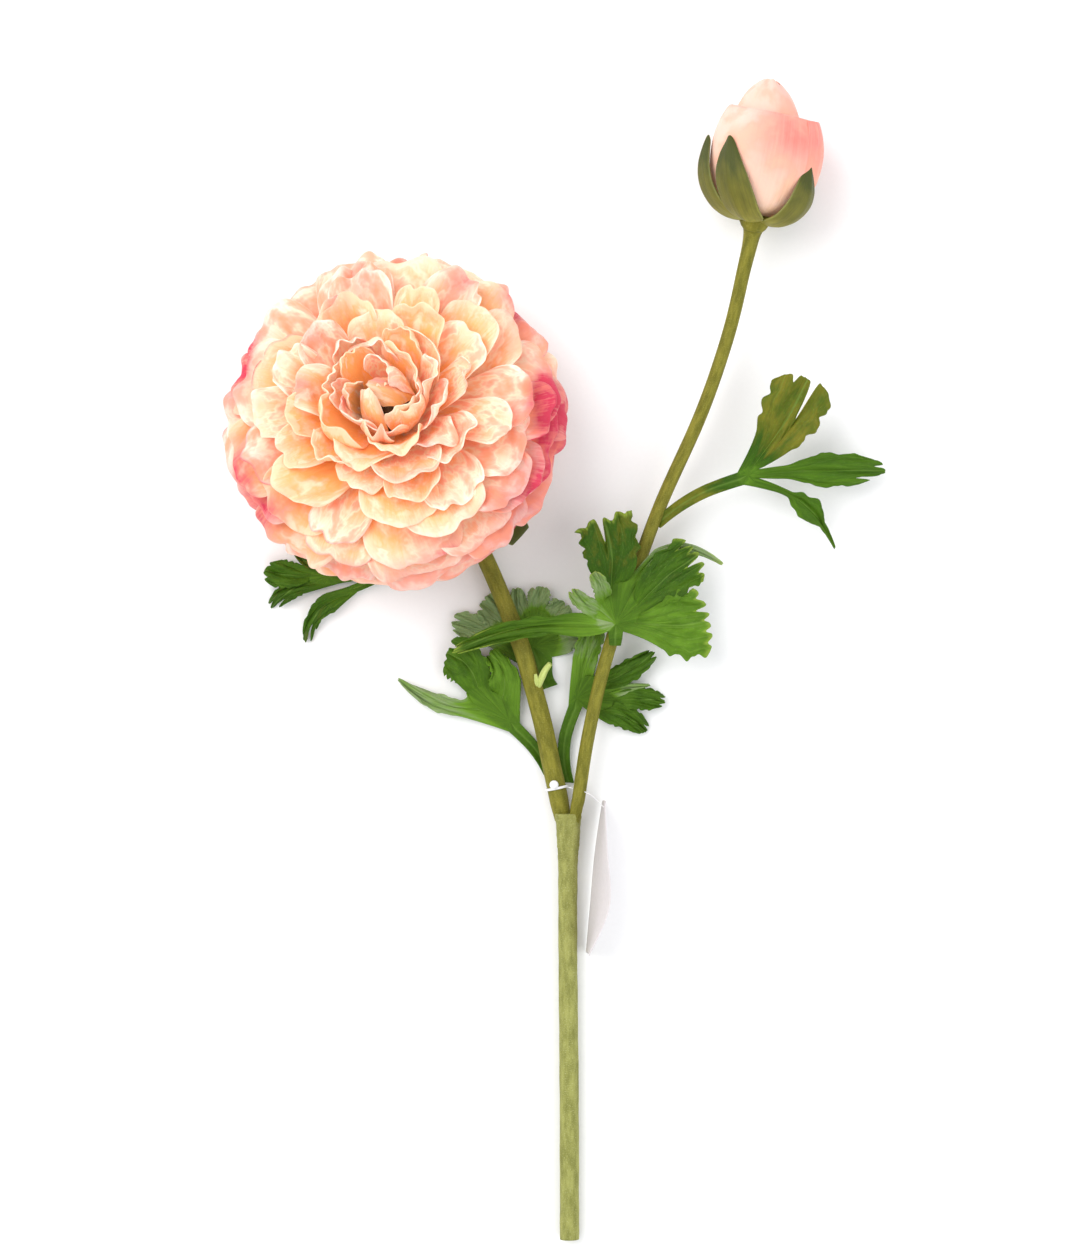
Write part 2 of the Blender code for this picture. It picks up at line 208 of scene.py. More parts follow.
def node_points(*nodes):
    """The corners of these solids' meshes, in millimetres."""
    return np.array([v.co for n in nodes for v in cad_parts[n].data.vertices]) / MM


# ---------------------------------------------------------------- shader groups


def new_group(name, inputs, outputs):
    """A shader node group; inputs are (name, default) pairs and outputs are (name, kind)."""
    group = bpy.data.node_groups.new(name, "ShaderNodeTree")
    for label, value in inputs:
        kind = "NodeSocketColor" if isinstance(value, tuple) else "NodeSocketFloat"
        group.interface.new_socket(label, in_out="INPUT", socket_type=kind).default_value = value
    for label, kind in outputs:
        group.interface.new_socket(label, in_out="OUTPUT", socket_type=kind)
    return group, group.nodes.new("NodeGroupInput"), group.nodes.new("NodeGroupOutput")


class Wiring:
    """Adds and joins nodes in one node tree."""

    def __init__(self, tree):
        self.nodes, self.links = tree.nodes, tree.links

    def feed(self, socket, value):
        if isinstance(value, bpy.types.NodeSocket):
            self.links.new(value, socket)
        elif isinstance(value, tuple) and socket.type == "RGBA":
            socket.default_value = (*value[:3], 1.0)
        elif value is not None:
            socket.default_value = value

    def node(self, kind, inputs=None, **settings):
        """A new node with these settings; inputs maps a socket's name or number to a value or a socket."""
        made = self.nodes.new(kind)
        for key, value in settings.items():
            setattr(made, key, value)
        for key, value in (inputs or {}).items():
            self.feed(made.inputs[key], value)
        return made

    def math(self, operation, a, b, clamp=False):
        return self.node("ShaderNodeMath", {0: a, 1: b}, operation=operation, use_clamp=clamp).outputs[0]

    def value(self, name):
        return self.node("ShaderNodeAttribute", attribute_name=name).outputs["Fac"]

    def range(self, value, low, high, to_low=0.0, to_high=1.0):
        inputs = {"Value": value, "From Min": low, "From Max": high, "To Min": to_low, "To Max": to_high}
        return self.node("ShaderNodeMapRange", inputs, interpolation_type="SMOOTHSTEP").outputs[0]

    def blend(self, share, a, b):
        return self.node("ShaderNodeMix", {0: share, 6: a, 7: b}, data_type="RGBA").outputs[2]

    def ramp(self, value, *stops):
        made = self.nodes.new("ShaderNodeValToRGB")
        while len(made.color_ramp.elements) < len(stops):
            made.color_ramp.elements.new(0.5)
        for element, (position, color) in zip(made.color_ramp.elements, stops):
            element.position, element.color = position, (*color, 1.0)
        self.feed(made.inputs[0], value)
        return made.outputs[0]

    def noise(self, vector, scale, detail=3.0, roughness=0.5):
        inputs = {"Vector": vector, "Scale": scale, "Detail": detail, "Roughness": roughness}
        return self.node("ShaderNodeTexNoise", inputs).outputs["Fac"]


def new_material(name, roughness=0.6, sheen=0.0, scatter=0.0, scatter_color=(1, 0.5, 0.3), gloss=0.5):
    """A material and its wiring. Values that are the same all over sit on the shader's own sockets."""
    made = bpy.data.materials.new(name)
    made.use_nodes = True
    shader = made.node_tree.nodes["Principled BSDF"]
    sockets = ("Roughness", "Sheen Weight", "Subsurface Weight", "Subsurface Radius", "Specular IOR Level")
    for key, value in zip(sockets, (roughness, sheen, scatter, scatter_color, gloss)):
        shader.inputs[key].default_value = value
    shader.inputs["Subsurface Scale"].default_value = SCATTER_SCALE
    return made, Wiring(made.node_tree), shader


def streak_group():
    """Fine lengthways streaks and soft blotches, from a piece's wrap coordinates."""
    group, given, out = new_group(
        "lengthways_streaks",
        (("Across", 60.0), ("Lengthways", 3.0), ("Blotch", 4.0)),
        (("Streaks", "NodeSocketFloat"), ("Blotches", "NodeSocketFloat")),
    )
    wiring = Wiring(group)
    uv = wiring.node("ShaderNodeUVMap", uv_map="Wrap").outputs[0]
    split = wiring.node("ShaderNodeSeparateXYZ", {0: uv})
    across = wiring.math("MULTIPLY", split.outputs[0], given.outputs["Across"])
    length = wiring.math("MULTIPLY", split.outputs[1], given.outputs["Lengthways"])
    joined = wiring.node("ShaderNodeCombineXYZ", {"X": across, "Y": length}).outputs[0]
    wiring.feed(out.inputs["Streaks"], wiring.noise(joined, 1.0, 4.0, 0.6))
    wiring.feed(out.inputs["Blotches"], wiring.noise(uv, given.outputs["Blotch"], 3.0, 0.55))
    return group


STREAKS = streak_group()


def streaks(wiring, across, lengthways, blotch):
    inputs = {"Across": across, "Lengthways": lengthways, "Blotch": blotch}
    made = wiring.node("ShaderNodeGroup", inputs, node_tree=STREAKS)
    return made.outputs["Streaks"], made.outputs["Blotches"]


def raise_surface(wiring, shader, height, distance, strength=0.5):
    inputs = {"Height": height, "Distance": distance, "Strength": strength}
    wiring.feed(shader.inputs["Normal"], wiring.node("ShaderNodeBump", inputs).outputs[0])


# ---------------------------------------------------------------- materials


def petal_material(name, reach_stops, moods, rose, mood_share=0.55):
    """Crepe-soft petal: warm at its foot and paler to its rim, which in the bloom is partly painted shade at
    the foot and painted highlight at the rim; each petal of its own mood, some blushed, and all with a
    painted glow.
    """
    made, wiring, shader = new_material(name, 0.68, 0.10, 0.22, (1.0, 0.6, 0.42), 0.2)
    lines, blotches = streaks(wiring, 34.0, 2.2, 3.5)
    reach = wiring.math("ADD", wiring.value("reach"), wiring.range(lines, 0.2, 0.8, -0.07, 0.07))
    reach = wiring.math("ADD", reach, wiring.range(blotches, 0.3, 0.7, -0.22, 0.22))
    color = wiring.ramp(reach, *reach_stops)
    mood = wiring.math("ADD", wiring.value("tint"), wiring.range(blotches, 0.3, 0.7, 0.34, -0.34))
    share = wiring.range(reach, 0.98, 0.70, mood_share * 0.7, mood_share)
    color = wiring.blend(share, color, wiring.ramp(mood, *moods))
    blush = wiring.math("MULTIPLY", wiring.value("blush"), wiring.range(blotches, 0.3, 0.65, 0.6, 1.15))
    blush = wiring.math("MULTIPLY", blush, wiring.range(lines, 0.2, 0.7, 0.8, 1.1), clamp=True)
    color = wiring.blend(blush, color, rose)
    wiring.feed(shader.inputs["Base Color"], color)
    # Painted glow: each petal gives off a little of its own colour, in place of light let through from its
    # other side.
    wiring.feed(shader.inputs["Emission Color"], color)
    shader.inputs["Emission Strength"].default_value = PETAL_PAINTED_GLOW
    crepe = wiring.math("ADD", lines, wiring.math("MULTIPLY", blotches, 0.5))
    raise_surface(wiring, shader, crepe, 0.0004, 0.5)
    return made


def mix_color(a, b, t):
    return tuple(mix(x, y, t) for x, y in zip(a, b))


def bloom_petal_material():
    # The orange foot and the cream rim are partly the petals' own colour and partly painted light: warm shade
    # deep between the petals, highlight along their rims.
    foot_orange_and_shade, apricot, peach, cream = (1.0, 0.41, 0.12), (1.0, 0.47, 0.18), (1.0, 0.55, 0.34), (1.0, 0.85, 0.70)
    gold, blush, blond, salmon = (1.0, 0.44, 0.13), (1.0, 0.50, 0.41), (1.0, 0.85, 0.66), (0.96, 0.33, 0.24)
    stops = ((0.40, foot_orange_and_shade), (0.62, apricot), (0.84, peach), (1.06, cream))
    moods = ((0.10, gold), (0.32, peach), (0.50, blond), (0.68, blush), (0.95, salmon))
    return petal_material("petal", stops, moods, (0.60, 0.045, 0.09), 0.72)


def bud_petal_material():
    cream, shell, coral = (0.84, 0.60, 0.34), (0.93, 0.46, 0.35), (0.90, 0.30, 0.22)
    stops = ((0.12, cream), (0.40, mix_color(cream, shell, 0.7)), (0.75, shell), (0.97, (0.94, 0.52, 0.44)))
    moods = ((0.1, (0.95, 0.66, 0.54)), (0.4, shell), (0.7, shell), (0.95, coral))
    return petal_material("bud_petal", stops, moods, (0.86, 0.20, 0.17), 0.5)


def leaf_material():
    """Green blade with pale veins that fan up each lobe, and a frayed yellow-green edge.

    A lobe's shade runs from olive, through dark, middle and bright green, to the pale grey of an underside.
    """
    made, wiring, shader = new_material("leaf", 0.6, 0.0, 0.06, (0.5, 1.0, 0.1), 0.14)
    lines, blotches = streaks(wiring, 22.0, 2.0, 4.0)
    fine, _ = streaks(wiring, 90.0, 30.0, 3.0)
    shade = wiring.math("ADD", wiring.value("shade"), wiring.range(blotches, 0.3, 0.7, -0.10, 0.10))
    color = wiring.ramp(
        shade,
        (0.0, (0.17, 0.155, 0.012)),
        (0.22, (0.030, 0.078, 0.002)),
        (0.5, (0.070, 0.155, 0.006)),
        (0.78, (0.135, 0.27, 0.018)),
        (1.0, (0.24, 0.33, 0.14)),
    )
    color = wiring.blend(wiring.range(wiring.value("vein"), 0.3, 1.0, 0.0, 0.35), color, (0.22, 0.36, 0.07))
    fray = wiring.range(wiring.value("edge"), 0.30, 0.95)
    fray = wiring.math("MULTIPLY", fray, wiring.range(lines, 0.35, 0.6))
    color = wiring.blend(fray, color, (0.38, 0.50, 0.07))
    color = wiring.blend(wiring.range(lines, 0.35, 0.7, 0.0, 0.30), color, (0.02, 0.06, 0.004))
    color = wiring.blend(wiring.range(fine, 0.55, 0.75, 0.0, 0.25), color, (0.30, 0.42, 0.14))
    wiring.feed(shader.inputs["Base Color"], color)
    sunk_vein = wiring.math("MULTIPLY", wiring.value("vein"), 0.8)
    height = wiring.math("SUBTRACT", wiring.math("MULTIPLY", lines, 0.35), sunk_vein)
    raise_surface(wiring, shader, height, 0.0005, 0.6)
    return made


def sepal_material():
    """Olive at the base, dark green above, with a thin pale edge."""
    made, wiring, shader = new_material("sepal", 0.55, 0.0, 0.08, (0.5, 1.0, 0.15), 0.25)
    lines, blotches = streaks(wiring, 26.0, 2.0, 4.0)
    reach = wiring.math("ADD", wiring.value("reach"), wiring.range(blotches, 0.25, 0.75, -0.12, 0.12))
    olive, moss, dark = (0.34, 0.31, 0.045), (0.185, 0.17, 0.024), (0.06, 0.07, 0.010)
    color = wiring.ramp(reach, (0.05, olive), (0.36, moss), (0.80, dark))
    color = wiring.blend(wiring.range(wiring.value("edge"), 0.5, 1.0, 0.0, 0.35), color, (0.34, 0.36, 0.14))
    color = wiring.blend(wiring.range(lines, 0.4, 0.7, 0.0, 0.35), color, (0.06, 0.065, 0.012))
    wiring.feed(shader.inputs["Base Color"], color)
    raise_surface(wiring, shader, lines, 0.0004, 0.5)
    return made


def stem_material(name, shade, light, fleck):
    """Olive skin with lengthways streaks and fine pale flecks."""
    made, wiring, shader = new_material(name, 0.6, 0.0, 0.0, (1, 1, 1), 0.15)
    lines, _ = streaks(wiring, 9.0, 14.0, 40.0)
    fine, _ = streaks(wiring, 40.0, 330.0, 10.0)
    color = wiring.blend(wiring.range(lines, 0.3, 0.7), shade, light)
    color = wiring.blend(wiring.range(fine, 0.54, 0.70, 0.0, 0.55), color, fleck)
    color = wiring.blend(wiring.range(fine, 0.44, 0.30, 0.0, 0.5), color, mix_color(shade, (0, 0, 0), 0.4))
    wiring.feed(shader.inputs["Base Color"], color)
    raise_surface(wiring, shader, wiring.math("ADD", lines, fine), 0.0003, 0.6)
    return made


def plain_material(name, color, roughness, grain=0.04):
    """A lightly grained finish for the tag and the surface underneath."""
    made, wiring, shader = new_material(name, roughness)
    speck = wiring.noise(wiring.node("ShaderNodeTexCoord").outputs["Object"], 900.0, 2.0)
    darker = tuple(c * (1 - grain) for c in color)
    wiring.feed(shader.inputs["Base Color"], wiring.blend(wiring.range(speck, 0.3, 0.7), darker, color))
    return made


# ---------------------------------------------------------------- bloom


def bloom_axes():
    """The bloom's own axes, from its solids: origin at the receptacle's foot, +Z out of its face."""
    rings = {ring: node_points(*nodes_named(f"petal_{ring}_")) for ring in RINGS}
    up = rings["heart"].mean(0) - rings["skirt"].mean(0)
    up /= np.linalg.norm(up)
    side = np.array([1.0, 0, 0]) - up * up[0]
    side /= np.linalg.norm(side)
    centre = rings["heart"].mean(0)
    lowest = ((rings["heart"] - centre) @ up).min()
    origin = centre + up * (lowest - HEART_FOOT)
    every = np.concatenate(list(rings.values())) - origin
    flat = every - np.outer(every @ up, up)
    return origin, np.stack([side, np.cross(up, side), up]), np.linalg.norm(flat, axis=1).max()


BLOOM_ORIGIN, BLOOM_AXES, BLOOM_RADIUS = bloom_axes()
BLOOM_WIDEST = 15.0  # height at which the bloom is widest
BLOOM_CROWN, BLOOM_SKIRT = 23.0, 38.0  # how far its rims rise above and would droop below that

PETAL_GRID = (23, 31)
PETAL_FOOT_HALF_WIDTH = 2.6
BLOOM_PETALS = 100  # set on a spiral from the heart to the skirt
CROWDING = 1.2  # above 1, the spiral is closer packed at the heart
GOLDEN_ANGLE = math.radians(137.508)
SPIRAL_START = math.radians(-22)

# Which way the petals' own colour leans round the bloom: compass direction, half-width, tint, pull.
LEANINGS = ((115, 55, 0.50, 0.40), (325, 42, 0.92, 0.60), (262, 36, 0.08, 0.50), (20, 30, 0.15, 0.35))
FACE_TURN = (-2.4, 3.0, 0.0)  # how far the heart leans from the bloom's axis
LID_HALF_WIDTH = 4.0  # of the petals that fold over the eye

# Where the bloom is flushed: compass direction, half-width, strength, openness it begins at.
FLUSHES = (
    (160, 15, 1.05, 0.40), (213, 14, 0.8, 0.41), (1, 12, 1.9, 0.36), (43, 8, 0.8, 0.40),
    (328, 24, 0.50, 0.34), (272, 34, 0.40, 0.46), (118, 14, 0.25, 0.50),
)
FLUSH_FADE = 0.14  # over how much openness a flush comes in


def folded_over(openness):
    """1 for the first petals of the spiral, which lie across the eye, and 0 for all that stand round them."""
    return 1 - float(smooth(openness / 0.02))


def petal_profile(openness):
    """The lengthways curve of a petal: upright at openness 0, a drooping skirt at 1."""
    foot = (mix(5.4, 9.2, openness), mix(HEART_FOOT, SKIRT_FOOT, openness))
    belly = bent((10.5, 32), (35, 35), (64, 12), np.array(openness))
    turn = math.radians(mix(7, 125, openness) - 12 * folded_over(openness))
    depth = BLOOM_CROWN if math.cos(turn) > 0 else BLOOM_SKIRT
    rim = (0.985 * BLOOM_RADIUS * math.sin(turn), BLOOM_WIDEST + depth * math.cos(turn))
    return lambda t: bent(foot, belly, rim, t)


def petal_half_angle(openness):
    """Wide in angle round the heart, where the rims' circles are small, and about 18 mm each side outside."""
    rim = 50 * math.sin(math.radians(mix(10, 118, openness)))
    return mix(8.0, 17.5, openness**0.7) / rim


def petal_length(a, seed, heart, outward, rng):
    """How far along its curve a petal reaches, across its width: round shoulders and a shallow notch."""
    notch = rng.uniform(0.0, 0.11) * (1 - 0.8 * heart) * bump(a - rng.uniform(-0.6, 0.6), 0.16)
    length = 1 - 0.24 * np.abs(a) ** 2.3 - 0.16 * np.abs(a) ** 8 + 0.03 * wavy(seed, a * 1.2) - notch
    return length * rng.uniform(mix(0.86, 0.95, outward), mix(1.04, 1.01, outward))


def petal_folds(a, t, seed, openness, heart, outward, rng):
    """How far each point stands off the petal's curve: cupped, ruffled where free, rolled at its rim."""
    free = smooth((t - 0.55) / 0.42)
    cup = -mix(3.0, 2.0, outward) * rng.uniform(0.2, 1.6) * np.abs(a) ** 2.2 * smooth((t - 0.3) / 0.6)
    calm = 1 - 0.5 * float(bump(openness - 0.72, 0.14))
    ruffle = rng.uniform(1.4, 3.6) * (1 - 0.65 * heart) * calm
    ruffle = ruffle * free * wavy(seed + 1, a * rng.uniform(1.0, 2.3) + t, 2)
    crease = 0.5 * (1 - 0.6 * heart) * t * wavy(seed + 2, a * mix(2.2, 4.2, openness) + t * 1.5, 2)
    inward = 2.6 * float(bump(openness - 0.16, 0.10))
    roll = (mix(-2.6, 1.6, outward) - inward) * (1 - 0.7 * heart) * rng.uniform(-0.7, 1.7)
    sweep_over = rng.uniform(0.6, 1.6) * a * smooth((t - 0.2) / 0.5)
    return sweep_over + cup + roll * smooth((t - 0.66) / 0.34) ** 2 + ruffle + crease


def flat_lid(radius, height, middle, across):
    """The same petal laid straight over the eye, where a fan in angle would pinch to a point."""
    run = heading_run(middle)
    flat = radius[..., None] * run + across[..., None] * left_of(run)
    return flat + height[..., None] * np.array([0, 0, 1])


def compass_gap(degrees, heading):
    return (degrees - heading + 180) % 360 - 180


def petal_flush(a, v, t, degrees, openness, rng):
    """How rosy each point is: where the bloom is flushed, along some rims, and in a patch on some petals."""
    flush = np.zeros_like(t)
    for heading, width, strength, begins in FLUSHES:
        outer = smooth((openness * t - begins) / FLUSH_FADE)
        flush += strength * outer * bump(compass_gap(degrees, heading), width)
    rim = 0.55 * smooth((v - 0.95) / 0.05) * (openness > 0.45) * (rng.uniform() < 0.35)
    patch = rng.uniform(0.1, 0.6) * (rng.uniform() < 0.4) * bump(a - rng.uniform(-0.8, 0.8), 0.5)
    return np.clip(flush + rim + patch * smooth((v - 0.45) / 0.4), 0, 1)


def petal_tint(middle, openness, rng):
    """The petal's own colour, as a place on the moods ramp."""
    tint = np.clip(rng.uniform(0, 0.85) + mix(-0.12, 0.18, openness), 0, 1)
    for heading, width, toward, pull in LEANINGS:
        near = bump(compass_gap(math.degrees(middle), heading), width)
        tint = mix(tint, toward, pull * near * float(smooth(openness / 0.2)))
    return tint


def make_petal(name, middle, openness, rng, material):
    """One rounded, cupped petal. v runs from its foot to its rim and a across it, from -1 to 1."""
    v, a = sheet_grid(*PETAL_GRID)
    seed = int(rng.integers(1 << 30))
    outward = float(smooth(openness * 1.6 - 0.3))
    heart = 1 - float(smooth(openness * 5))
    face = 1 - float(smooth(openness * 2.2))
    t = v * petal_length(a, seed, heart, outward, rng)
    profile = petal_profile(openness)
    curve = profile(t)
    half = petal_half_angle(openness) * rng.uniform(0.72, 1.32)
    turn = a * mix(PETAL_FOOT_HALF_WIDTH / curve[0, 0, 0], half, smooth(t / 0.6))
    offset = petal_folds(a, t, seed, openness, heart, outward, rng)
    radius, height = stood_off(curve, profile(t + 1e-3), offset)
    angle = middle + turn + rng.uniform(-0.15, 0.15) * t
    lid = flat_lid(radius, height, middle, a * LID_HALF_WIDTH * smooth(t / 0.4))
    local = mix(round_axis(radius, height, angle), lid, 1 - float(smooth(openness / 0.05)))
    shove = rng.normal(0, 1, 3) * (0.6 + 1.0 * heart, 0.6 + 1.0 * heart, 0.3 + 0.9 * heart)
    shift = shove - (0, 0, 0.8 * heart) + np.array(FACE_TURN) * face
    local += shift * smooth(t)[..., None]

    blush = petal_flush(a, v, t, np.degrees(angle) % 360, openness, rng)
    tint = petal_tint(middle, openness, rng)
    values = {"reach": v + 0.05 * np.abs(a) ** 3, "tint": np.full_like(t, tint), "blush": blush}
    uv = np.stack([a * 0.5 + 0.5 + seed % 97, v], -1)
    points = BLOOM_ORIGIN + local @ BLOOM_AXES
    piece = add_mesh(name, points, grid_faces(*PETAL_GRID), material, values, uv)
    return thicken(piece, PETAL_THICKNESS)


def solid_petals():
    """Each packed petal's node, ring and compass direction, from the heart out."""
    found = []
    for ring in RINGS:
        for node in nodes_named(f"petal_{ring}_"):
            toward = BLOOM_AXES @ (node_points(node).mean(0) - BLOOM_ORIGIN)
            found.append((node, ring, math.atan2(toward[1], toward[0])))
    return found


def make_bloom(petal, sepal):
    """Spirals the petals out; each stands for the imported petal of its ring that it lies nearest."""
    rng = np.random.default_rng(41)
    slots = dict(zip(RINGS, ("petal_apricot",) * 3 + ("petal_peach",) * 2 + ("petal_rose",)))
    waiting = {ring: [] for ring in RINGS}
    for node, ring, heading in solid_petals():
        waiting[ring].append((node, heading))
    left = {ring: dict(pairs) for ring, pairs in waiting.items()}
    for k in range(BLOOM_PETALS):
        openness = (k / (BLOOM_PETALS - 1)) ** CROWDING
        middle = (SPIRAL_START + k * GOLDEN_ANGLE + rng.uniform(-0.2, 0.2)) % FULL_TURN
        ring = RINGS[min(int(openness * len(RINGS)), len(RINGS) - 1)]
        piece = make_petal(f"petal_{k + 1:02d}_{ring}", middle, openness, rng, petal)
        choices = left[ring] or dict(waiting[ring])
        node = min(choices, key=lambda n: abs((choices[n] - middle + math.pi) % FULL_TURN - math.pi))
        left[ring].pop(node, None)
        place(piece, slots[ring], node)
    make_calyx(sepal)


# (radius, height) along a sepal under the bloom and its half-angles along it; the last one grew long.
CALYX_LINE = ((5.2, 0.9), (10, 1.7), (16, 0.6), (21.5, -1.6), (25.5, -3.6))
CALYX_WIDTHS = (0.46, 0.46, 0.40, 0.30, 0.02)
LONG_SEPAL_LINE = ((5.2, 0.9), (14, 1.5), (25, 0.2), (37, -2.2), (48.5, -4.4))
LONG_SEPAL_WIDTHS = (0.46, 0.40, 0.24, 0.15, 0.08)
LONG_SEPAL_TURN = -0.1


def make_calyx(material):
    """Five sepals under the bloom, of which the last shows past the skirt."""
    for k in range(5):
        middle, line, widths = (k + 0.5) * FULL_TURN / 5, CALYX_LINE, CALYX_WIDTHS
        if k == 4:
            middle, line, widths = middle + LONG_SEPAL_TURN, LONG_SEPAL_LINE, LONG_SEPAL_WIDTHS
        piece = make_sepal(f"calyx_sepal_{k + 1}", line, middle, widths, BLOOM_ORIGIN, BLOOM_AXES, material)
        place(piece, "sepal_green", f"bloom_sepal_{k + 1}")


# (height, radius) up the cone of carpels.
SEED_CONE = ((15.0, 5.0), (18.0, 7.0), (22.0, 7.6), (26.0, 6.8), (29.0, 4.6), (30.5, 1.8))


def make_seed_cone(material):
    """The cone of carpels that shows between the heart petals; its near-black brown is partly its own colour
    and partly painted shade deep in the heart.
    """
    line = tuple((*(BLOOM_ORIGIN + BLOOM_AXES[2] * height), radius) for height, radius in SEED_CONE)
    place(sweep("seed_cone", line, 20, material), "stem_green")


# ---------------------------------------------------------------- bud


def bud_axes():
    """The bud's own axes, from its solids: origin at its foot, +Z towards its point."""
    kinds = ("outer_petal", "inner_petal", "sepal")
    outer, inner, sepals = (node_points(*nodes_named(f"bud_{kind}_")) for kind in kinds)
    up = outer.mean(0) - sepals.mean(0) + (inner.mean(0) - outer.mean(0))
    up /= np.linalg.norm(up)
    top = inner[((inner - sepals.mean(0)) @ up).argmax()]
    over = np.array([0, 0, 1.0]) - up * up[2]
    over /= np.linalg.norm(over)
    centre = sepals.mean(0)
    origin = centre + up * (((top - centre) @ up) - BUD_LENGTH)
    return origin, np.stack([np.cross(over, up), over, up])


BUD_ORIGIN, BUD_AXES = bud_axes()


def turned_sheet(
    name, line, middle, widths, origin, axes, material, *, grid=(22, 25), rounding=0.1, corner=2.5, rim=0,
    rise=0, lean=0, cup=0, ruffle=0, ridge=0, twist=0, shove=(0, 0), seed=3, tint=0.3, blush=None,
    thickness=PETAL_THICKNESS,
):
    """A sheet on a surface of revolution. line is (radius, height) points and widths half-angles along it."""
    v, a = sheet_grid(*grid)
    t = v * (1 - rounding * np.abs(a) ** corner + rim * wavy(7, a * 2))
    turn = a * np.interp(v, np.linspace(0, 1, len(widths)), widths)
    offset = rise * smooth(t / 0.3) + lean * turn + cup * a**2
    offset += ruffle * smooth((t - 0.6) / 0.4) * wavy(seed, a * 2, 2)
    offset += ridge * bump(a, 0.22) * np.sin(math.pi * v) ** 0.5
    radius, height = stood_off(along(line, t), along(line, t + 2e-3), offset)
    local = round_axis(radius, height, middle + turn + twist * t)
    local[..., :2] += np.array(shove) * smooth(t)[..., None]
    values = {"reach": v, "tint": np.full_like(v, tint), "edge": smooth((np.abs(a) - 0.75) / 0.25)}
    values["blush"] = blush(v, a) if blush else np.zeros_like(v)
    uv = np.stack([a * 0.5 + 0.5 + seed, v], -1)
    piece = add_mesh(name, origin + local @ axes, grid_faces(*grid), material, values, uv)
    return thicken(piece, thickness)


def make_sepal(name, line, middle, widths, origin, axes, material, **extra):
    extra = {"grid": (20, 15), "rounding": 0.0, "ridge": 0.35, "cup": -0.5, "thickness": 0.8} | extra
    return turned_sheet(name, line, middle, widths, origin, axes, material, **extra)


# ---------------------------------------------------------------- stems

# Centre lines of the stems: (x, y, z, radius), from the cut end upwards.
STEM_LINES = {
    "main_stem": (
        (4.0, -174.3, 2.9, 2.9), (3.9, -131.0, 3.3, 2.9), (3.5, -88.0, 3.9, 2.85), (3.5, -62.0, 4.6, 2.95),
        (3.6, -54.0, 5.0, 3.45), (3.6, -45.6, 5.4, 3.75),
    ),
    "flower_branch": (
        (1.9, -47.5, 4.2, 2.4), (0.9, -42.0, 4.3, 2.85), (-1.2, -32.0, 4.7, 2.85), (-5.0, -15.0, 5.2, 2.8),
        (-10.2, 3.6, 5.4, 2.7), (-16.0, 18.6, 5.4, 2.6), (-23.0, 34.5, 5.3, 2.6), (-32.0, 50.0, 5.6, 2.6),
        (-39.4, 60.6, 7.6, 2.6), (-44.6, 66.8, 11.6, 2.6),
    ),
    "bud_branch": (
        (4.8, -56.0, 5.6, 1.2), (5.3, -49.0, 6.2, 1.6), (6.2, -43.5, 6.9, 1.9), (6.9, -39.5, 7.2, 2.0),
        (8.6, -28.0, 7.9, 2.0), (11.8, -11.4, 8.4, 2.0),
        (16.8, 7.2, 9.2, 2.0), (24.0, 27.9, 10.2, 2.0), (31.8, 48.6, 11.2, 2.0), (42.6, 72.6, 12.4, 2.0),
        (51.0, 96.6, 13.6, 2.0), (56.2, 118.0, 14.8, 2.1), (58.3, 127.6, 15.5, 2.6),
    ),
}
RECEPTACLE = ((0, 3.2), (2, 6.5), (4, 8.6), (7, 8.4), (10, 7.4), (13, 6.2), (16, 4.6), (18, 2.6), (18.8, 1.0))
BUD_RECEPTACLE = ((0, 4.2), (1.6, 5.4), (3.6, 5.0), (5.0, 3.0), (5.6, 1.0))


def swollen_end(profile, origin, axes):
    return tuple((*(origin + axes[2] * height), radius) for height, radius in profile)


def sweep(name, line, steps, material, shape=None):
    """A closed round stem through (x, y, z, radius) points; shape(share, angle) scales its radius."""
    sides = 40
    rings = along(line, np.linspace(0, 1, steps + 1))
    centres, radii = rings[:, :3], rings[:, 3]
    forward = np.gradient(centres, axis=0)
    forward /= np.linalg.norm(forward, axis=1, keepdims=True)
    side = np.array([1.0, 0, 0])
    angles = np.linspace(0, FULL_TURN, sides + 1)
    travelled = np.concatenate([[0], np.cumsum(np.linalg.norm(np.diff(centres, axis=0), axis=1))])
    points, uv = [], []
    foot, top = [(0, 0.0), (0, 0.55), (0, 0.9)], [(steps, 0.9), (steps, 0.5), (steps, 0.0)]
    outline = foot + [(i, 1.0) for i in range(steps + 1)] + top
    for i, share in outline:
        side = side - forward[i] * (side @ forward[i])
        side /= np.linalg.norm(side)
        over = np.cross(forward[i], side)
        for angle in angles:
            scale = share * (shape(i / steps, angle) if shape else 1)
            points.append(centres[i] + (side * math.cos(angle) + over * math.sin(angle)) * radii[i] * scale)
            uv.append((angle / FULL_TURN, travelled[i] / 100))
    piece = add_mesh(name, points, grid_faces(len(outline), sides + 1), material, {}, uv)
    weld(piece, 0.01)
    return piece


def sleeve_shape(share, angle):
    """The top of the main stem spreads sideways and is creased between the two branches it holds."""
    spread = float(smooth((share - 0.86) / 0.12))
    lumps = 0.012 * math.sin(share * 61 + 2 * angle) + 0.010 * math.sin(share * 133 + angle)
    crease = bump((angle - 1.35) % FULL_TURN - math.pi / 9, 0.28) + bump((angle - 4.6) % FULL_TURN, 0.28)
    return 1 + lumps + spread * (0.07 * math.cos(2 * angle) - 0.10 * crease)


def skin_shape(share, angle):
    """Slow lengthways unevenness of a grown stem."""
    return 1 + 0.014 * math.sin(share * 47 + 3 * angle) + 0.012 * math.sin(share * 95 + angle)


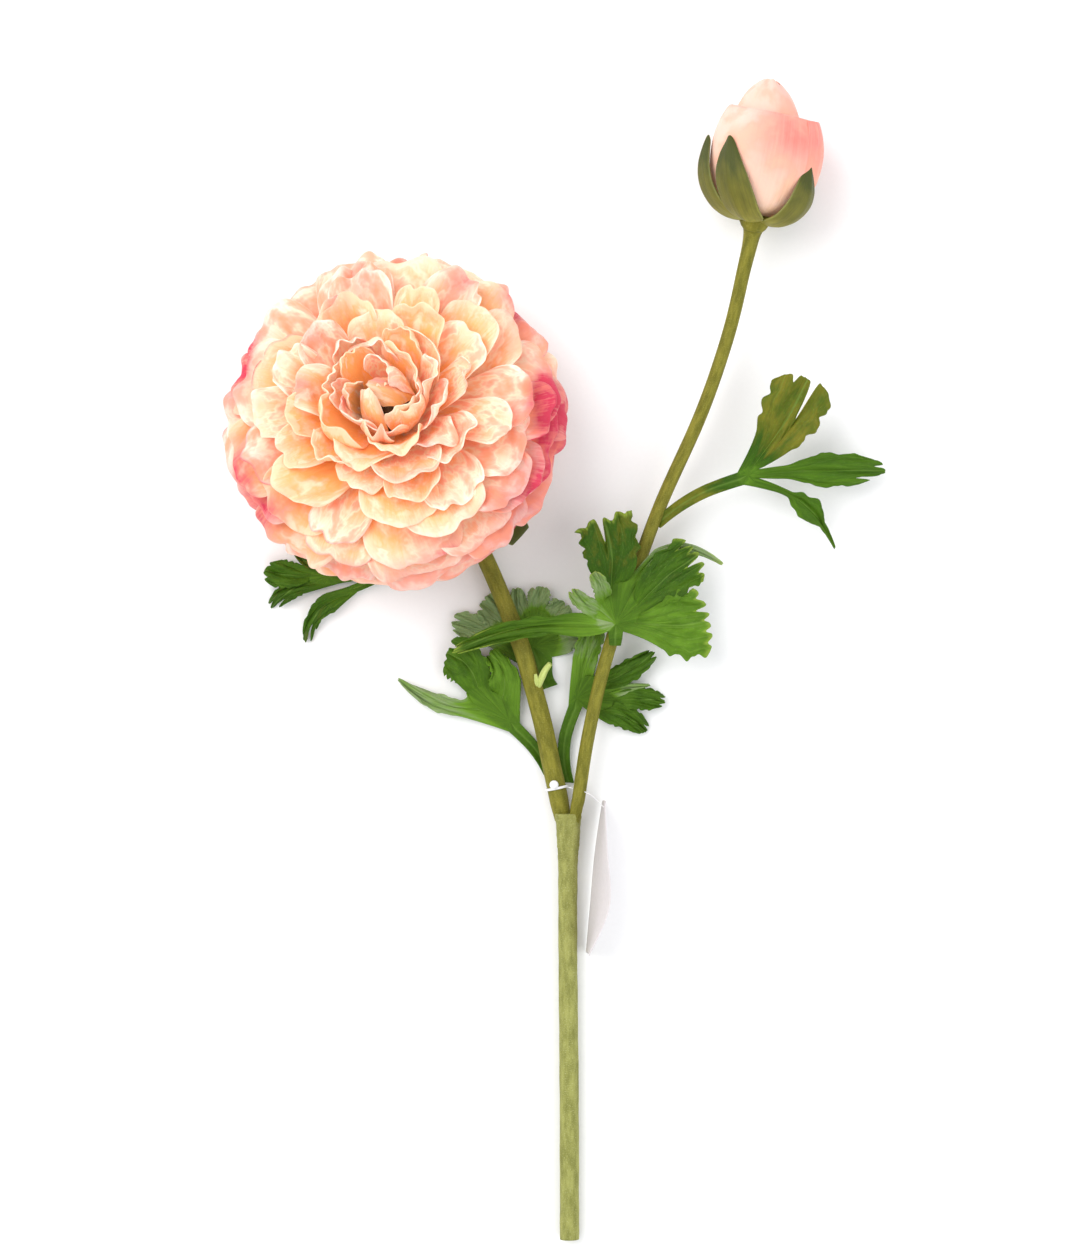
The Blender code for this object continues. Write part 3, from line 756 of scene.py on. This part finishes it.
def make_stems(material, branch_material, stub_material):
    lines = dict(STEM_LINES)
    lines["flower_branch"] += swollen_end(RECEPTACLE, BLOOM_ORIGIN, BLOOM_AXES)
    lines["bud_branch"] += swollen_end(BUD_RECEPTACLE, BUD_ORIGIN, BUD_AXES)
    for name, line in lines.items():
        shape = sleeve_shape if name == "main_stem" else skin_shape
        skin = material if name == "main_stem" else branch_material
        place(sweep(f"{name}_skin", line, 170, skin, shape), "stem_green", name)
    stub = ((-5.9, -7.6, 6.4, 1.15), (-4.4, -4.6, 7.6, 1.1), (-3.2, -2.2, 8.4, 0.95), (-1.8, -0.4, 9.0, 0.8))
    place(sweep("side_stub", stub, 12, stub_material, skin_shape), "stem_green")
    spur = ((-5.7, -7.0, 7.2, 0.8), (-6.0, -5.2, 8.0, 0.7), (-6.3, -3.6, 8.4, 0.45))
    place(sweep("side_stub_spur", spur, 8, stub_material, skin_shape), "stem_green")


# ---------------------------------------------------------------- leaves

PALM_SHADE = 0.50  # of the palm, where a leaf's lobes meet

# A leaf is a stalk, a palm and lobes that fan out from it, listed anticlockwise from the stalk.
# bow and arch: how far a run's middle stands left of, and above, a straight one.
# width: across the lobe's end, or half-widths all along it. point: how far its corners fall back.
# splits: (place across the end from -1 to 1, depth, width) of each cut between its fingers.
# web: how far from the palm it parts from the next lobe.
Lobe = namedtuple("Lobe", "tip width neck bow arch splits point shade web heading", defaults=(None,))
LEAF_FIELDS = "piece node base palm stalk_width bow arch fold fray lobes stalk_shade"
Leaf = namedtuple("Leaf", LEAF_FIELDS, defaults=(0.36,))

LEAVES = (
    Leaf("leaf_under_bloom_hand", "leaf_under_bloom", (-40.0, 27.0, 4.0), (-69.0, 26.0, 1.6), 5.0, -1.0, -0.6,
        0.15, 0.1, (
        Lobe((-79.0, 33.6, 3.0), 2.4, 3.4, 0.6, 0.8, (), 0.5, 0.15, 4.5),
        Lobe((-88.2, 27.6, 2.4), 8.2, 5.2, 0.6, 1.5, ((-0.5, 0.10, 0.1), (0.4, 0.08, 0.1)), 0.34, 0.35, 6.0),
        Lobe((-86.2, 16.4, 1.0), 5.4, 4.4, -1.6, 1.2, ((0.4, 0.30, 0.14), (-0.3, 0.12, 0.1)), 0.35, 0.25,
            4.0),
    )),
    Leaf("leaf_under_bloom_arm", "leaf_under_bloom", (-46.0, 30.0, 4.0), (-62.0, 21.6, 2.4), 2.6, 0.6, 0.4,
        0.15, 0.1, (
        Lobe((-75.2, 5.6, 0.8), ((0.0, 1.6), (0.3, 3.0), (0.5, 3.2), (0.75, 2.3), (1.0, 2.2)), 3.0, -3.4, 1.4,
            ((0.1, 0.30, 0.16), (0.7, 0.16, 0.1)), 0.3, 0.28, 2.4),
    )),
    Leaf("leaf_behind_branch_blade", "leaf_behind_branch", (-2.8, -8.0, 2.4), (-7.2, 4.6, 1.0), 9.0, 1.0, 0.0,
        0.08, 0.25, (
        # Lobes at shade 1.08 take the palest grey-green, their own colour lifted as painted light against the
        # shadow the bloom casts here.
        Lobe((8.4, 9.6, 2.2), 9.0, 12.0, 0.5, 0.4, ((0.1, 0.12, 0.1),), 0.25, 1.08, 9.0),
        Lobe((2.6, 18.0, 2.8), 7.0, 8.0, 0.0, 0.6, ((-0.2, 0.14, 0.1), (0.5, 0.08, 0.1)), 0.22, 1.08, 11.0),
        Lobe((-5.2, 22.8, 3.4), 6.6, 6.0, -0.3, 0.8, ((0.35, 0.12, 0.1), (-0.5, 0.07, 0.1)), 0.25, 1.08,
            11.0),
        Lobe((-12.0, 22.4, 1.8), 4.4, 5.0, 0.3, -0.2, ((0.1, 0.07, 0.1),), 0.25, 1.08, 8.0),
        Lobe((-23.0, 17.6, 1.8), 8.6, 7.5, -0.6, -0.4, ((-0.4, 0.12, 0.1), (0.3, 0.16, 0.1)), 0.2, 1.08,
            13.0),
        Lobe((-31.6, 12.2, 2.0), 7.6, 8.0, -0.4, -0.4, ((-0.2, 0.18, 0.12), (0.5, 0.10, 0.1)), 0.22, 1.08,
            8.0),
    )),
    Leaf("leaf_over_branches_blade", "leaf_over_branches", (17.6, 5.0, 11.0), (17.8, 11.6, 12.6), 4.4, 0.0,
        0.2, 0.22, 0.75, (
        Lobe((46.2, 12.4, 12.0), 20.0, 7.0, -1.0, 2.6, ((-0.62, 0.07, 0.07), (-0.28, 0.12, 0.07),
            (0.06, 0.09, 0.06), (0.36, 0.20, 0.06), (0.72, 0.09, 0.06)), 0.16, 0.60, 7.5),
        Lobe((42.6, 32.2, 13.8), 14.5, 9.5, 1.0, 2.2, ((-0.6, 0.10, 0.07), (-0.2, 0.24, 0.07),
            (0.25, 0.13, 0.06), (0.62, 0.22, 0.07)), 0.14, 0.30, 9.0),
        Lobe((49.8, 29.4, 10.0), ((0.0, 1.8), (0.5, 1.9), (0.85, 1.6), (1.0, 0.9)), 4.0, 8.5, 1.2, (), 0.3,
            1.0, 13.0, 62),
        Lobe((13.8, 43.6, 16.0), 17.0, 13.5, -1.2, 1.0, ((0.16, 0.40, 0.07), (-0.25, 0.12, 0.14),
            (0.66, 0.07, 0.08), (-0.75, 0.05, 0.06)), 0.07, 0.19, 9.0),
        Lobe((10.4, 26.4, 18.0), 4.6, 6.0, -0.8, 3.0, (), 0.3, (0.62, 0.95), 6.0),
        Lobe((4.4, 21.6, 14.0), 4.6, 6.0, 0.8, 1.6, ((0.1, 0.12, 0.1),), 0.3, (0.78, 0.92), 6.5),
        Lobe((-31.4, 2.8, 8.6), ((0.0, 4.8), (0.18, 4.4), (0.32, 3.0), (0.45, 2.4), (0.6, 3.2), (0.75, 2.6),
            (0.88, 3.2), (1.0, 2.2)), 10.0, -3.4, 3.4, ((0.3, 0.06, 0.1), (-0.4, 0.08, 0.1)), 0.3,
            (0.95, 0.42), 5.0),
    )),
    Leaf("leaf_low_left_blade", "leaf_low_left", (-2.4, -33.4, 0.9), (-14.0, -18.0, 2.4), 4.2, -1.0, 0.0,
        0.20, 0.15, (
        Lobe((-20.4, 2.8, 4.6), ((0.0, 4.5), (0.35, 5.0), (0.7, 3.2), (1.0, 2.6)), 9.0, -2.4, 1.4,
            ((0.2, 0.06, 0.1),), 0.08, 0.60, 11.0),
        Lobe((-33.2, 2.6, 3.8), 13.0, 10.0, -2.0, 1.6, ((-0.42, 0.26, 0.08), (0.25, 0.05, 0.1)), 0.10, 0.42,
            16.0),
        Lobe((-47.6, -5.2, 2.2), ((0.0, 2.8), (0.3, 2.4), (0.6, 2.8), (0.85, 2.0), (1.0, 1.0)), 5.0, 2.4, 1.2,
            (), 0.3, 0.96, 4.0),
    )),
    Leaf("leaf_low_right_blade", "leaf_low_right", (3.8, -36.6, 1.7), (6.0, -11.0, 3.0), 4.2, 2.4, 0.2, 0.16,
        0.15, (
        Lobe((27.4, -20.8, 1.4), ((0.0, 4.0), (0.4, 3.6), (0.75, 3.4), (1.0, 2.6)), 8.0, 1.0, 0.6,
            ((0.3, 0.14, 0.12),), 0.2, 0.35, 13.0),
        Lobe((32.8, -12.0, 2.6), ((0.0, 3.4), (0.4, 3.0), (0.75, 3.4), (1.0, 2.6)), 7.0, 0.6, 0.8,
            ((0.3, 0.12, 0.1), (-0.4, 0.10, 0.1)), 0.2, 0.35, 11.0),
        Lobe((28.2, -7.0, 4.0), ((0.0, 2.6), (0.4, 2.0), (0.7, 1.1), (1.0, 0.5)), 4.5, 0.4, 0.2, (), 0.3,
            0.95, 8.0),
        Lobe((29.6, 3.0, 4.8), ((0.0, 2.6), (0.35, 3.2), (0.7, 3.3), (1.0, 2.4)), 6.0, -1.0, 0.6,
            ((-0.3, 0.12, 0.1), (0.4, 0.07, 0.1)), 0.2, 0.35, 8.5),
        # Its shade of 0.82 is lifted as painted light against the shadow that the leaf over the branches
        # casts on it.
        Lobe((12.4, 12.4, 5.4), 7.6, 7.0, 0.6, 0.2, ((0.0, 0.1, 0.1),), 0.2, 0.82, 5.5),
    )),
    Leaf("leaf_below_bud_hand", "leaf_below_bud", (30.2, 41.4, 10.6), (57.2, 56.0, 12.6), 4.2, 1.8, 1.6, 0.22,
        0.12, (
        Lobe((84.0, 34.4, 3.4), ((0.0, 1.7), (0.28, 0.8), (0.40, 0.9), (0.46, 3.0), (0.56, 2.6), (0.62, 4.0),
            (0.72, 3.2), (0.77, 1.0), (0.86, 0.9), (1.0, 0.3)), 2.4, 3.8, 3.2, (), 0.1, 0.40, 2.4),
        Lobe((98.8, 57.6, 6.0), ((0.0, 1.7), (0.28, 2.0), (0.5, 4.6), (0.7, 5.2), (0.9, 4.4), (1.0, 3.8)),
            3.6, 0.6, 3.0, ((-0.62, 0.22, 0.16), (0.3, 0.07, 0.1)), 0.14, 0.42, 3.4),
        Lobe((75.0, 84.6, 17.4), 18.0, 7.0, -1.0, 1.8, ((-0.26, 0.50, 0.06), (0.40, 0.12, 0.08)), 0.14, 0.05,
            3.0),
    ), 0.08),
)


def unit(x, y):
    length = math.hypot(x, y)
    return np.array([x / length, y / length, 0.0])


def bowed(start, end, bow, arch, t):
    """Points on the run from start to end, bowed to its left and arched up at its middle."""
    hump = (4 * t * (1 - t))[..., None]
    over = left_of(unit(*(end - start)[:2])) * bow + np.array([0, 0, arch])
    return start + (end - start) * t[..., None] + over * hump


def lobe_half_width(lobe, v):
    if isinstance(lobe.width, tuple):
        spots, halves = zip(*lobe.width)
        return float(np.interp(v, spots, halves))
    return mix(lobe.neck, lobe.width, float(smooth(v / 0.75))) / 2


def lobe_sheet(lobe, palm, heading, right, left, fold, seed):
    """Grid of one lobe, from the palm's middle out to its blunt, fingered end."""
    inner, outer, columns = 5, 26, 41
    c = np.linspace(-1, 1, columns)
    tip = np.array(lobe.tip, float)
    flat = np.array([1, 1, 0])
    reach_out = (np.linalg.norm((right - palm) * flat) + np.linalg.norm((left - palm) * flat)) / 2 * 1.05
    root = palm + heading_run(heading) * reach_out
    base = bent(right, root * 2 - (right + left) / 2, left, (c + 1) / 2)
    rows = [palm + (base - palm) * (k / inner) for k in range(inner)]
    length = 1 - lobe.point * np.abs(c) ** 3.5 + 0.018 * wavy(seed, c * 3.0)
    for spot, depth, width in lobe.splits:
        length -= depth * bump(c - spot, width)
    for k in range(outer + 1):
        v = k / outer
        spine = bowed(root, tip, lobe.bow, lobe.arch, np.full(1, v))[0]
        ahead = bowed(root, tip, lobe.bow, lobe.arch, np.full(1, v + 0.02))[0] - spine
        across = left_of(ahead) / math.hypot(ahead[0], ahead[1])
        half = lobe_half_width(lobe, v)
        teeth = 0.15 * float(smooth((v - 0.3) / 0.2)) * wavy(seed + 2, v * 8.0 + np.sign(c)) * np.abs(c) ** 3
        fan = bowed(root, tip, lobe.bow, lobe.arch, v * length) + across * (c * half * (1 + teeth))[:, None]
        fan[:, 2] += fold * half * np.abs(c) + 1.1 * v * wavy(seed + 1, c * 1.4 + v)
        rows.append(base + (fan - base) * float(smooth(v / 0.3)))
    v_all = np.concatenate([np.linspace(0, 0.2, inner, endpoint=False), np.linspace(0.2, 1, outer + 1)])
    across, reach = np.meshgrid(c, v_all)
    cuts = [-1.0] + sorted(spot for spot, _, _ in lobe.splits) + [1.0]
    vein = bump(across, 0.05)
    for start, stop in zip(cuts, cuts[1:]):
        run = (start + stop) / 2 * smooth(reach / 0.8)
        vein = np.maximum(vein, 0.7 * bump(across - run, 0.035) * smooth((reach - 0.25) / 0.2))
    sides = 0.6 * smooth((np.abs(across) - 0.9) / 0.1) * smooth((reach - 0.55) / 0.3)
    edge = np.maximum(smooth((reach - 0.88) / 0.12), sides)
    root_shade, tip_shade = lobe.shade if isinstance(lobe.shade, tuple) else (PALM_SHADE, lobe.shade)
    shade = mix(root_shade, tip_shade, smooth((reach - 0.1) / 0.45))
    values = {"vein": vein, "edge": edge, "shade": shade}
    return np.array(rows), values, np.stack([across * 0.5 + 0.5 + seed, reach], -1)


def stalk_sheet(leaf, palm, base, first, final, mouth_reach):
    """Grid of the stalk, from the palm's middle down to where it joins the stem."""
    inner, outer, columns = 5, 20, 9
    c = np.linspace(-1, 1, columns)
    run = unit(*(base - palm)[:2])
    entry = palm + run * mouth_reach
    mouth = bent(final, entry * 2 - (first + final) / 2, first, (c + 1) / 2)
    rows = [palm + (mouth - palm) * (k / inner) for k in range(inner)]
    for k in range(outer + 1):
        t = k / outer
        spot = bowed(entry, base, -leaf.bow, leaf.arch, np.full(1, t))[0]
        strap = spot + left_of(run) * (c * leaf.stalk_width / 2 * mix(1, 0.8, t))[:, None]
        strap[:, 2] += 0.6 * np.abs(c) ** 2
        rows.append(mouth + (strap - mouth) * float(smooth(t / 0.35)))
    across, reach = np.meshgrid(c, np.linspace(0, 1, inner + outer + 1))
    shade = mix(PALM_SHADE, leaf.stalk_shade, smooth(reach / 0.6))
    values = {"vein": 0.8 * bump(across, 0.3), "edge": 0 * reach, "shade": shade}
    return np.array(rows), values, np.stack([across * 0.1, reach], -1)


def make_leaf(leaf, seed, material):
    palm, base = np.array(leaf.palm, float), np.array(leaf.base, float)
    back = math.atan2(base[1] - palm[1], base[0] - palm[0])
    headings = []
    for lobe in leaf.lobes:
        toward = math.atan2(lobe.tip[1] - palm[1], lobe.tip[0] - palm[0])
        toward = toward if lobe.heading is None else math.radians(lobe.heading)
        headings.append(back + (toward - back) % FULL_TURN)
    webs = [lobe.web for lobe in leaf.lobes]

    def round_palm(heading, reach):
        return palm + heading_run(heading) * reach

    mouth = leaf.stalk_width * 0.75
    first, final = round_palm(back + 0.75, mouth), round_palm(back - 0.75, mouth)
    between = [round_palm((a + b) / 2, web) for a, b, web in zip(headings, headings[1:], webs)]
    notches = [first, *between, final]
    sheets = [stalk_sheet(leaf, palm, base, first, final, mouth)]
    for k, (lobe, heading) in enumerate(zip(leaf.lobes, headings)):
        sheets.append(lobe_sheet(lobe, palm, heading, notches[k], notches[k + 1], leaf.fold, seed * 10 + k))
    points, faces, uv = [], [], []
    fields = {"vein": [], "edge": [], "shade": []}
    for grid, values, wrap in sheets:
        faces += grid_faces(*grid.shape[:2], offset=len(points))
        points += list(grid.reshape(-1, 3))
        uv += list(wrap.reshape(-1, 2))
        for key, field in fields.items():
            field += list(values[key].ravel() * (leaf.fray if key == "edge" else 1))
    piece = add_mesh(leaf.piece, points, faces, material, fields, uv)
    weld(piece, 0.02)
    thicken(piece, LEAF_THICKNESS)
    return place(piece, "leaf_green", leaf.node)


# ---------------------------------------------------------------- bud pieces


# (radius, height) up the bud's three kinds of sheet.
BUD_HEART_LINE = ((4.6, 7.0), (9.6, 14), (11.4, 23), (9.8, 31), (6.1, 38.5), (1.2, BUD_LENGTH - 1.2))
BUD_WRAP_LINE = ((4.9, 2.8), (11.0, 6.2), (15.0, 14), (15.9, 22), (14.8, 28.5), (12.8, 33.0))
BUD_CALYX_LINE = ((4.4, 0.9), (9.0, 1.4), (13.4, 4.0), (16.9, 9.0), (18.2, 14.5), (17.9, 20.0), (17.0, 25.5))
BUD_CALYX_WIDTHS = (0.66, 0.62, 0.47, 0.39, 0.32, 0.21, 0.01)

# Angles run round the bud from its left side, over the top at 90 degrees, to its right side.
# Inner petals: angle, rounding, shove, tint, rise. Outer: angle, half-width, rise, tint, flush.
# Sepals: angle, stature, twist.
BUD_HEARTS = ((68, 0.16, 3.4, 0.2, 0.25), (238, 0.12, 2.4, 0.6, -0.25))
BUD_WRAPS = ((80, 1.25, 0.9, 0.30, 0.95), (196, 1.15, 0.3, 0.85, 0.85), (318, 1.15, 0.0, 0.0, 0.1))
BUD_SEPALS = ((142, 0.82, 0.05), (74, 0.95, -0.42), (16, 0.92, -0.12), (-60, 0.95, 0.0), (-130, 0.95, 0.0))


def heart_rose(v, a):
    return 0.22 * smooth((v - 0.55) / 0.3) * smooth((a - 0.1) / 0.5)


def wrap_rose(strength, one_sided):
    """Rosy over a petal's upper part, or over one side of that, and along its rim."""

    def rose(v, a):
        upper = 0.85 * smooth((v - 0.25) / 0.55) * (smooth((a + 0.45) / 0.75) if one_sided else 1.0)
        return strength * np.maximum(upper, 0.45 * smooth((v - 0.94) / 0.06))

    return rose


def make_bud(petal, sepal):
    """Two petals rolled to a point, three wrapped round them, and the calyx that holds them."""
    for k, (degrees, rounding, sideways, tint, rise) in enumerate(BUD_HEARTS):
        piece = turned_sheet(
            f"bud_heart_{k + 1}", BUD_HEART_LINE, math.radians(degrees), (0.5, 1.7, 1.85, 1.85, 1.85, 1.8),
            BUD_ORIGIN, BUD_AXES, petal, rounding=rounding, corner=2.4, lean=0.10, rise=rise,
            shove=(sideways, 0.0), ruffle=0.3, seed=5 + k, blush=heart_rose, tint=tint,
        )
        place(piece, "petal_bud", f"bud_inner_petal_{k + 1}")
    for k, (degrees, half, rise, tint, rosy) in enumerate(BUD_WRAPS):
        widths = (1.0, half, half, half, half, 0.98 * half)
        piece = turned_sheet(
            f"bud_wrap_{k + 1}", BUD_WRAP_LINE, math.radians(degrees), widths,
            BUD_ORIGIN, BUD_AXES, petal, rounding=0.05, corner=4.0, lean=-0.30, rise=rise,
            ruffle=0.45, rim=0.018, seed=11 + k, blush=wrap_rose(rosy, k == 0), tint=tint,
        )
        place(piece, "petal_bud", f"bud_outer_petal_{k + 1}")
    for k, (degrees, stature, twist) in enumerate(BUD_SEPALS):
        line = tuple((radius, height * stature) for radius, height in BUD_CALYX_LINE)
        piece = make_sepal(
            f"bud_calyx_{k + 1}", line, math.radians(degrees), BUD_CALYX_WIDTHS,
            BUD_ORIGIN, BUD_AXES, sepal, seed=30 + k, cup=-0.9, ridge=0.5, twist=twist, shove=(1.6, 0.0),
        )
        place(piece, "sepal_green", f"bud_sepal_{k + 1}")


# ---------------------------------------------------------------- tag


def make_tag(card_material, loop_material):
    """A blank card beside the stem, curled and seen almost on edge, its loop and its thread."""
    low_edge = ((9.0, -88.0, 0.5), (10.2, -73.6, 0.6), (11.6, -58.0, 0.8), (14.0, -41.8, 1.2))
    high_edge = ((9.6, -87.4, 19.6), (15.9, -72.4, 19.9), (15.2, -56.6, 20.8), (14.3, -41.2, 21.4))
    rows, columns = 25, 13
    lengthways = np.linspace(0, 1, rows)
    share = np.linspace(0, 1, columns)[None, :, None]
    grid = mix(along(low_edge, lengthways)[:, None], along(high_edge, lengthways)[:, None], share)
    grid[..., 0] += 0.5 * np.sin(math.pi * share[..., 0])
    wrap = np.stack(np.meshgrid(np.linspace(0, 1, columns), lengthways), -1)
    card = add_mesh("tag_sheet", grid, grid_faces(rows, columns), card_material, {}, wrap)
    place(thicken(card, 0.35), "tag_card", "tag_card")
    low, high = (np.array(corner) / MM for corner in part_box("tag_loop"))
    centre = (low + high) / 2
    radius = 3.1
    turns = np.linspace(0, FULL_TURN, 49)[:-1]
    ring = [centre + radius * np.array([math.cos(t), 0.2 * math.cos(t), math.sin(t)]) for t in turns]
    place(cord_tube("tag_ring", ring, 0.4, loop_material, True), "tag_loop", "tag_loop")
    knob = np.array([-0.7, -36.9, centre[2] + radius + 0.2])
    bead = ((-1.2, 0.5), (-0.7, 1.15), (0.0, 1.35), (0.7, 1.15), (1.2, 0.5))
    ball = tuple((*(knob + (0, 0, height)), size) for height, size in bead)
    place(sweep("tag_knob", ball, 12, loop_material), "tag_loop")
    thread = [centre + (radius, 0.4, 1.0), centre + (8.5, -1.0, 4.0), np.array([14.1, -43.0, 19.4])]
    place(cord_tube("tag_thread", thread, 0.14, loop_material), "tag_loop")


def cord_tube(name, points, radius, material, closed=False):
    curve = bpy.data.curves.new(name, "CURVE")
    curve.dimensions = "3D"
    curve.bevel_depth, curve.bevel_resolution, curve.use_fill_caps = radius * MM, 4, True
    spline = curve.splines.new("POLY" if closed else "BEZIER")
    if closed:
        spline.points.add(len(points) - 1)
        for spot, point in zip(spline.points, points):
            spot.co = (*(np.array(point) * MM), 1.0)
        spline.use_cyclic_u = True
    else:
        spline.bezier_points.add(len(points) - 1)
        for spot, point in zip(spline.bezier_points, points):
            spot.co = np.array(point) * MM
            spot.handle_left_type = spot.handle_right_type = "AUTO"
    curve.materials.append(material)
    return add_object(name, curve)


# ---------------------------------------------------------------- stage, light and camera


def make_stage():
    corners = [(x * FLOOR_HALF, y * FLOOR_HALF, 0) for x, y in ((-1, -1), (1, -1), (1, 1), (-1, 1))]
    finish = plain_material("pale_floor", (0.93, 0.93, 0.93), 0.8, 0.01)
    add_mesh("floor", corners, [(0, 1, 2, 3)], finish)


def add_light(name, spot, target, size, power, color):
    data = bpy.data.lights.new(name, "AREA")
    data.shape, data.size, data.energy, data.color = "DISK", size, power, color
    light = add_object(name, data)
    light.location = spot
    light.rotation_euler = (Vector(target) - Vector(spot)).to_track_quat("-Z", "Y").to_euler()


def make_light_and_camera():
    low, high = (Vector(corner) for corner in CAD_BOX)
    centre = (low + high) / 2
    add_light("key_softbox", (-0.75, 0.55, 1.15), centre, 1.3, 14.5, (1.0, 0.985, 0.97))
    add_light("fill_softbox", (0.9, -0.4, 1.0), centre, 1.3, 6.0, (0.98, 0.99, 1.0))
    world = bpy.data.worlds.new("studio_air")
    world.use_nodes = True
    background = world.node_tree.nodes["Background"].inputs
    background["Color"].default_value = (0.97, 0.98, 1.0, 1.0)
    background["Strength"].default_value = 0.90
    bpy.context.scene.world = world
    bpy.context.scene.view_settings.view_transform = "Standard"

    lens, sensor = 100.0, 36.0
    distance = (high.y - low.y) * VIEW_MARGIN * lens / sensor
    camera = bpy.data.cameras.new("camera")
    camera.lens, camera.sensor_width = lens, sensor
    eye = add_object("camera", camera)
    eye.location = (centre.x + VIEW_SHIFT[0], centre.y + VIEW_SHIFT[1], distance + VIEW_LIFT)
    bpy.context.scene.camera = eye


def main():
    make_stage()
    make_light_and_camera()
    petal, bud = bloom_petal_material(), bud_petal_material()
    sepal, leaf = sepal_material(), leaf_material()
    stem = stem_material("stem", (0.20, 0.205, 0.048), (0.34, 0.345, 0.10), (0.54, 0.56, 0.28))
    branch = stem_material("branch", (0.13, 0.125, 0.012), (0.24, 0.22, 0.028), (0.40, 0.38, 0.11))
    stub = stem_material("stub", (0.42, 0.50, 0.12), (0.58, 0.66, 0.22), (0.7, 0.75, 0.4))
    make_bloom(petal, sepal)
    # The cone's near-black brown is partly painted shade deep in the heart.
    make_seed_cone(stem_material("carpels", (0.03, 0.012, 0.004), (0.06, 0.03, 0.01), (0.12, 0.07, 0.02)))
    make_bud(bud, sepal)
    make_stems(stem, branch, stub)
    for k, leaf_spec in enumerate(LEAVES):
        make_leaf(leaf_spec, k + 1, leaf)
    card = plain_material("card", (0.70, 0.66, 0.67), 0.7)
    make_tag(card, plain_material("nylon", (0.86, 0.86, 0.88), 0.3))


main()
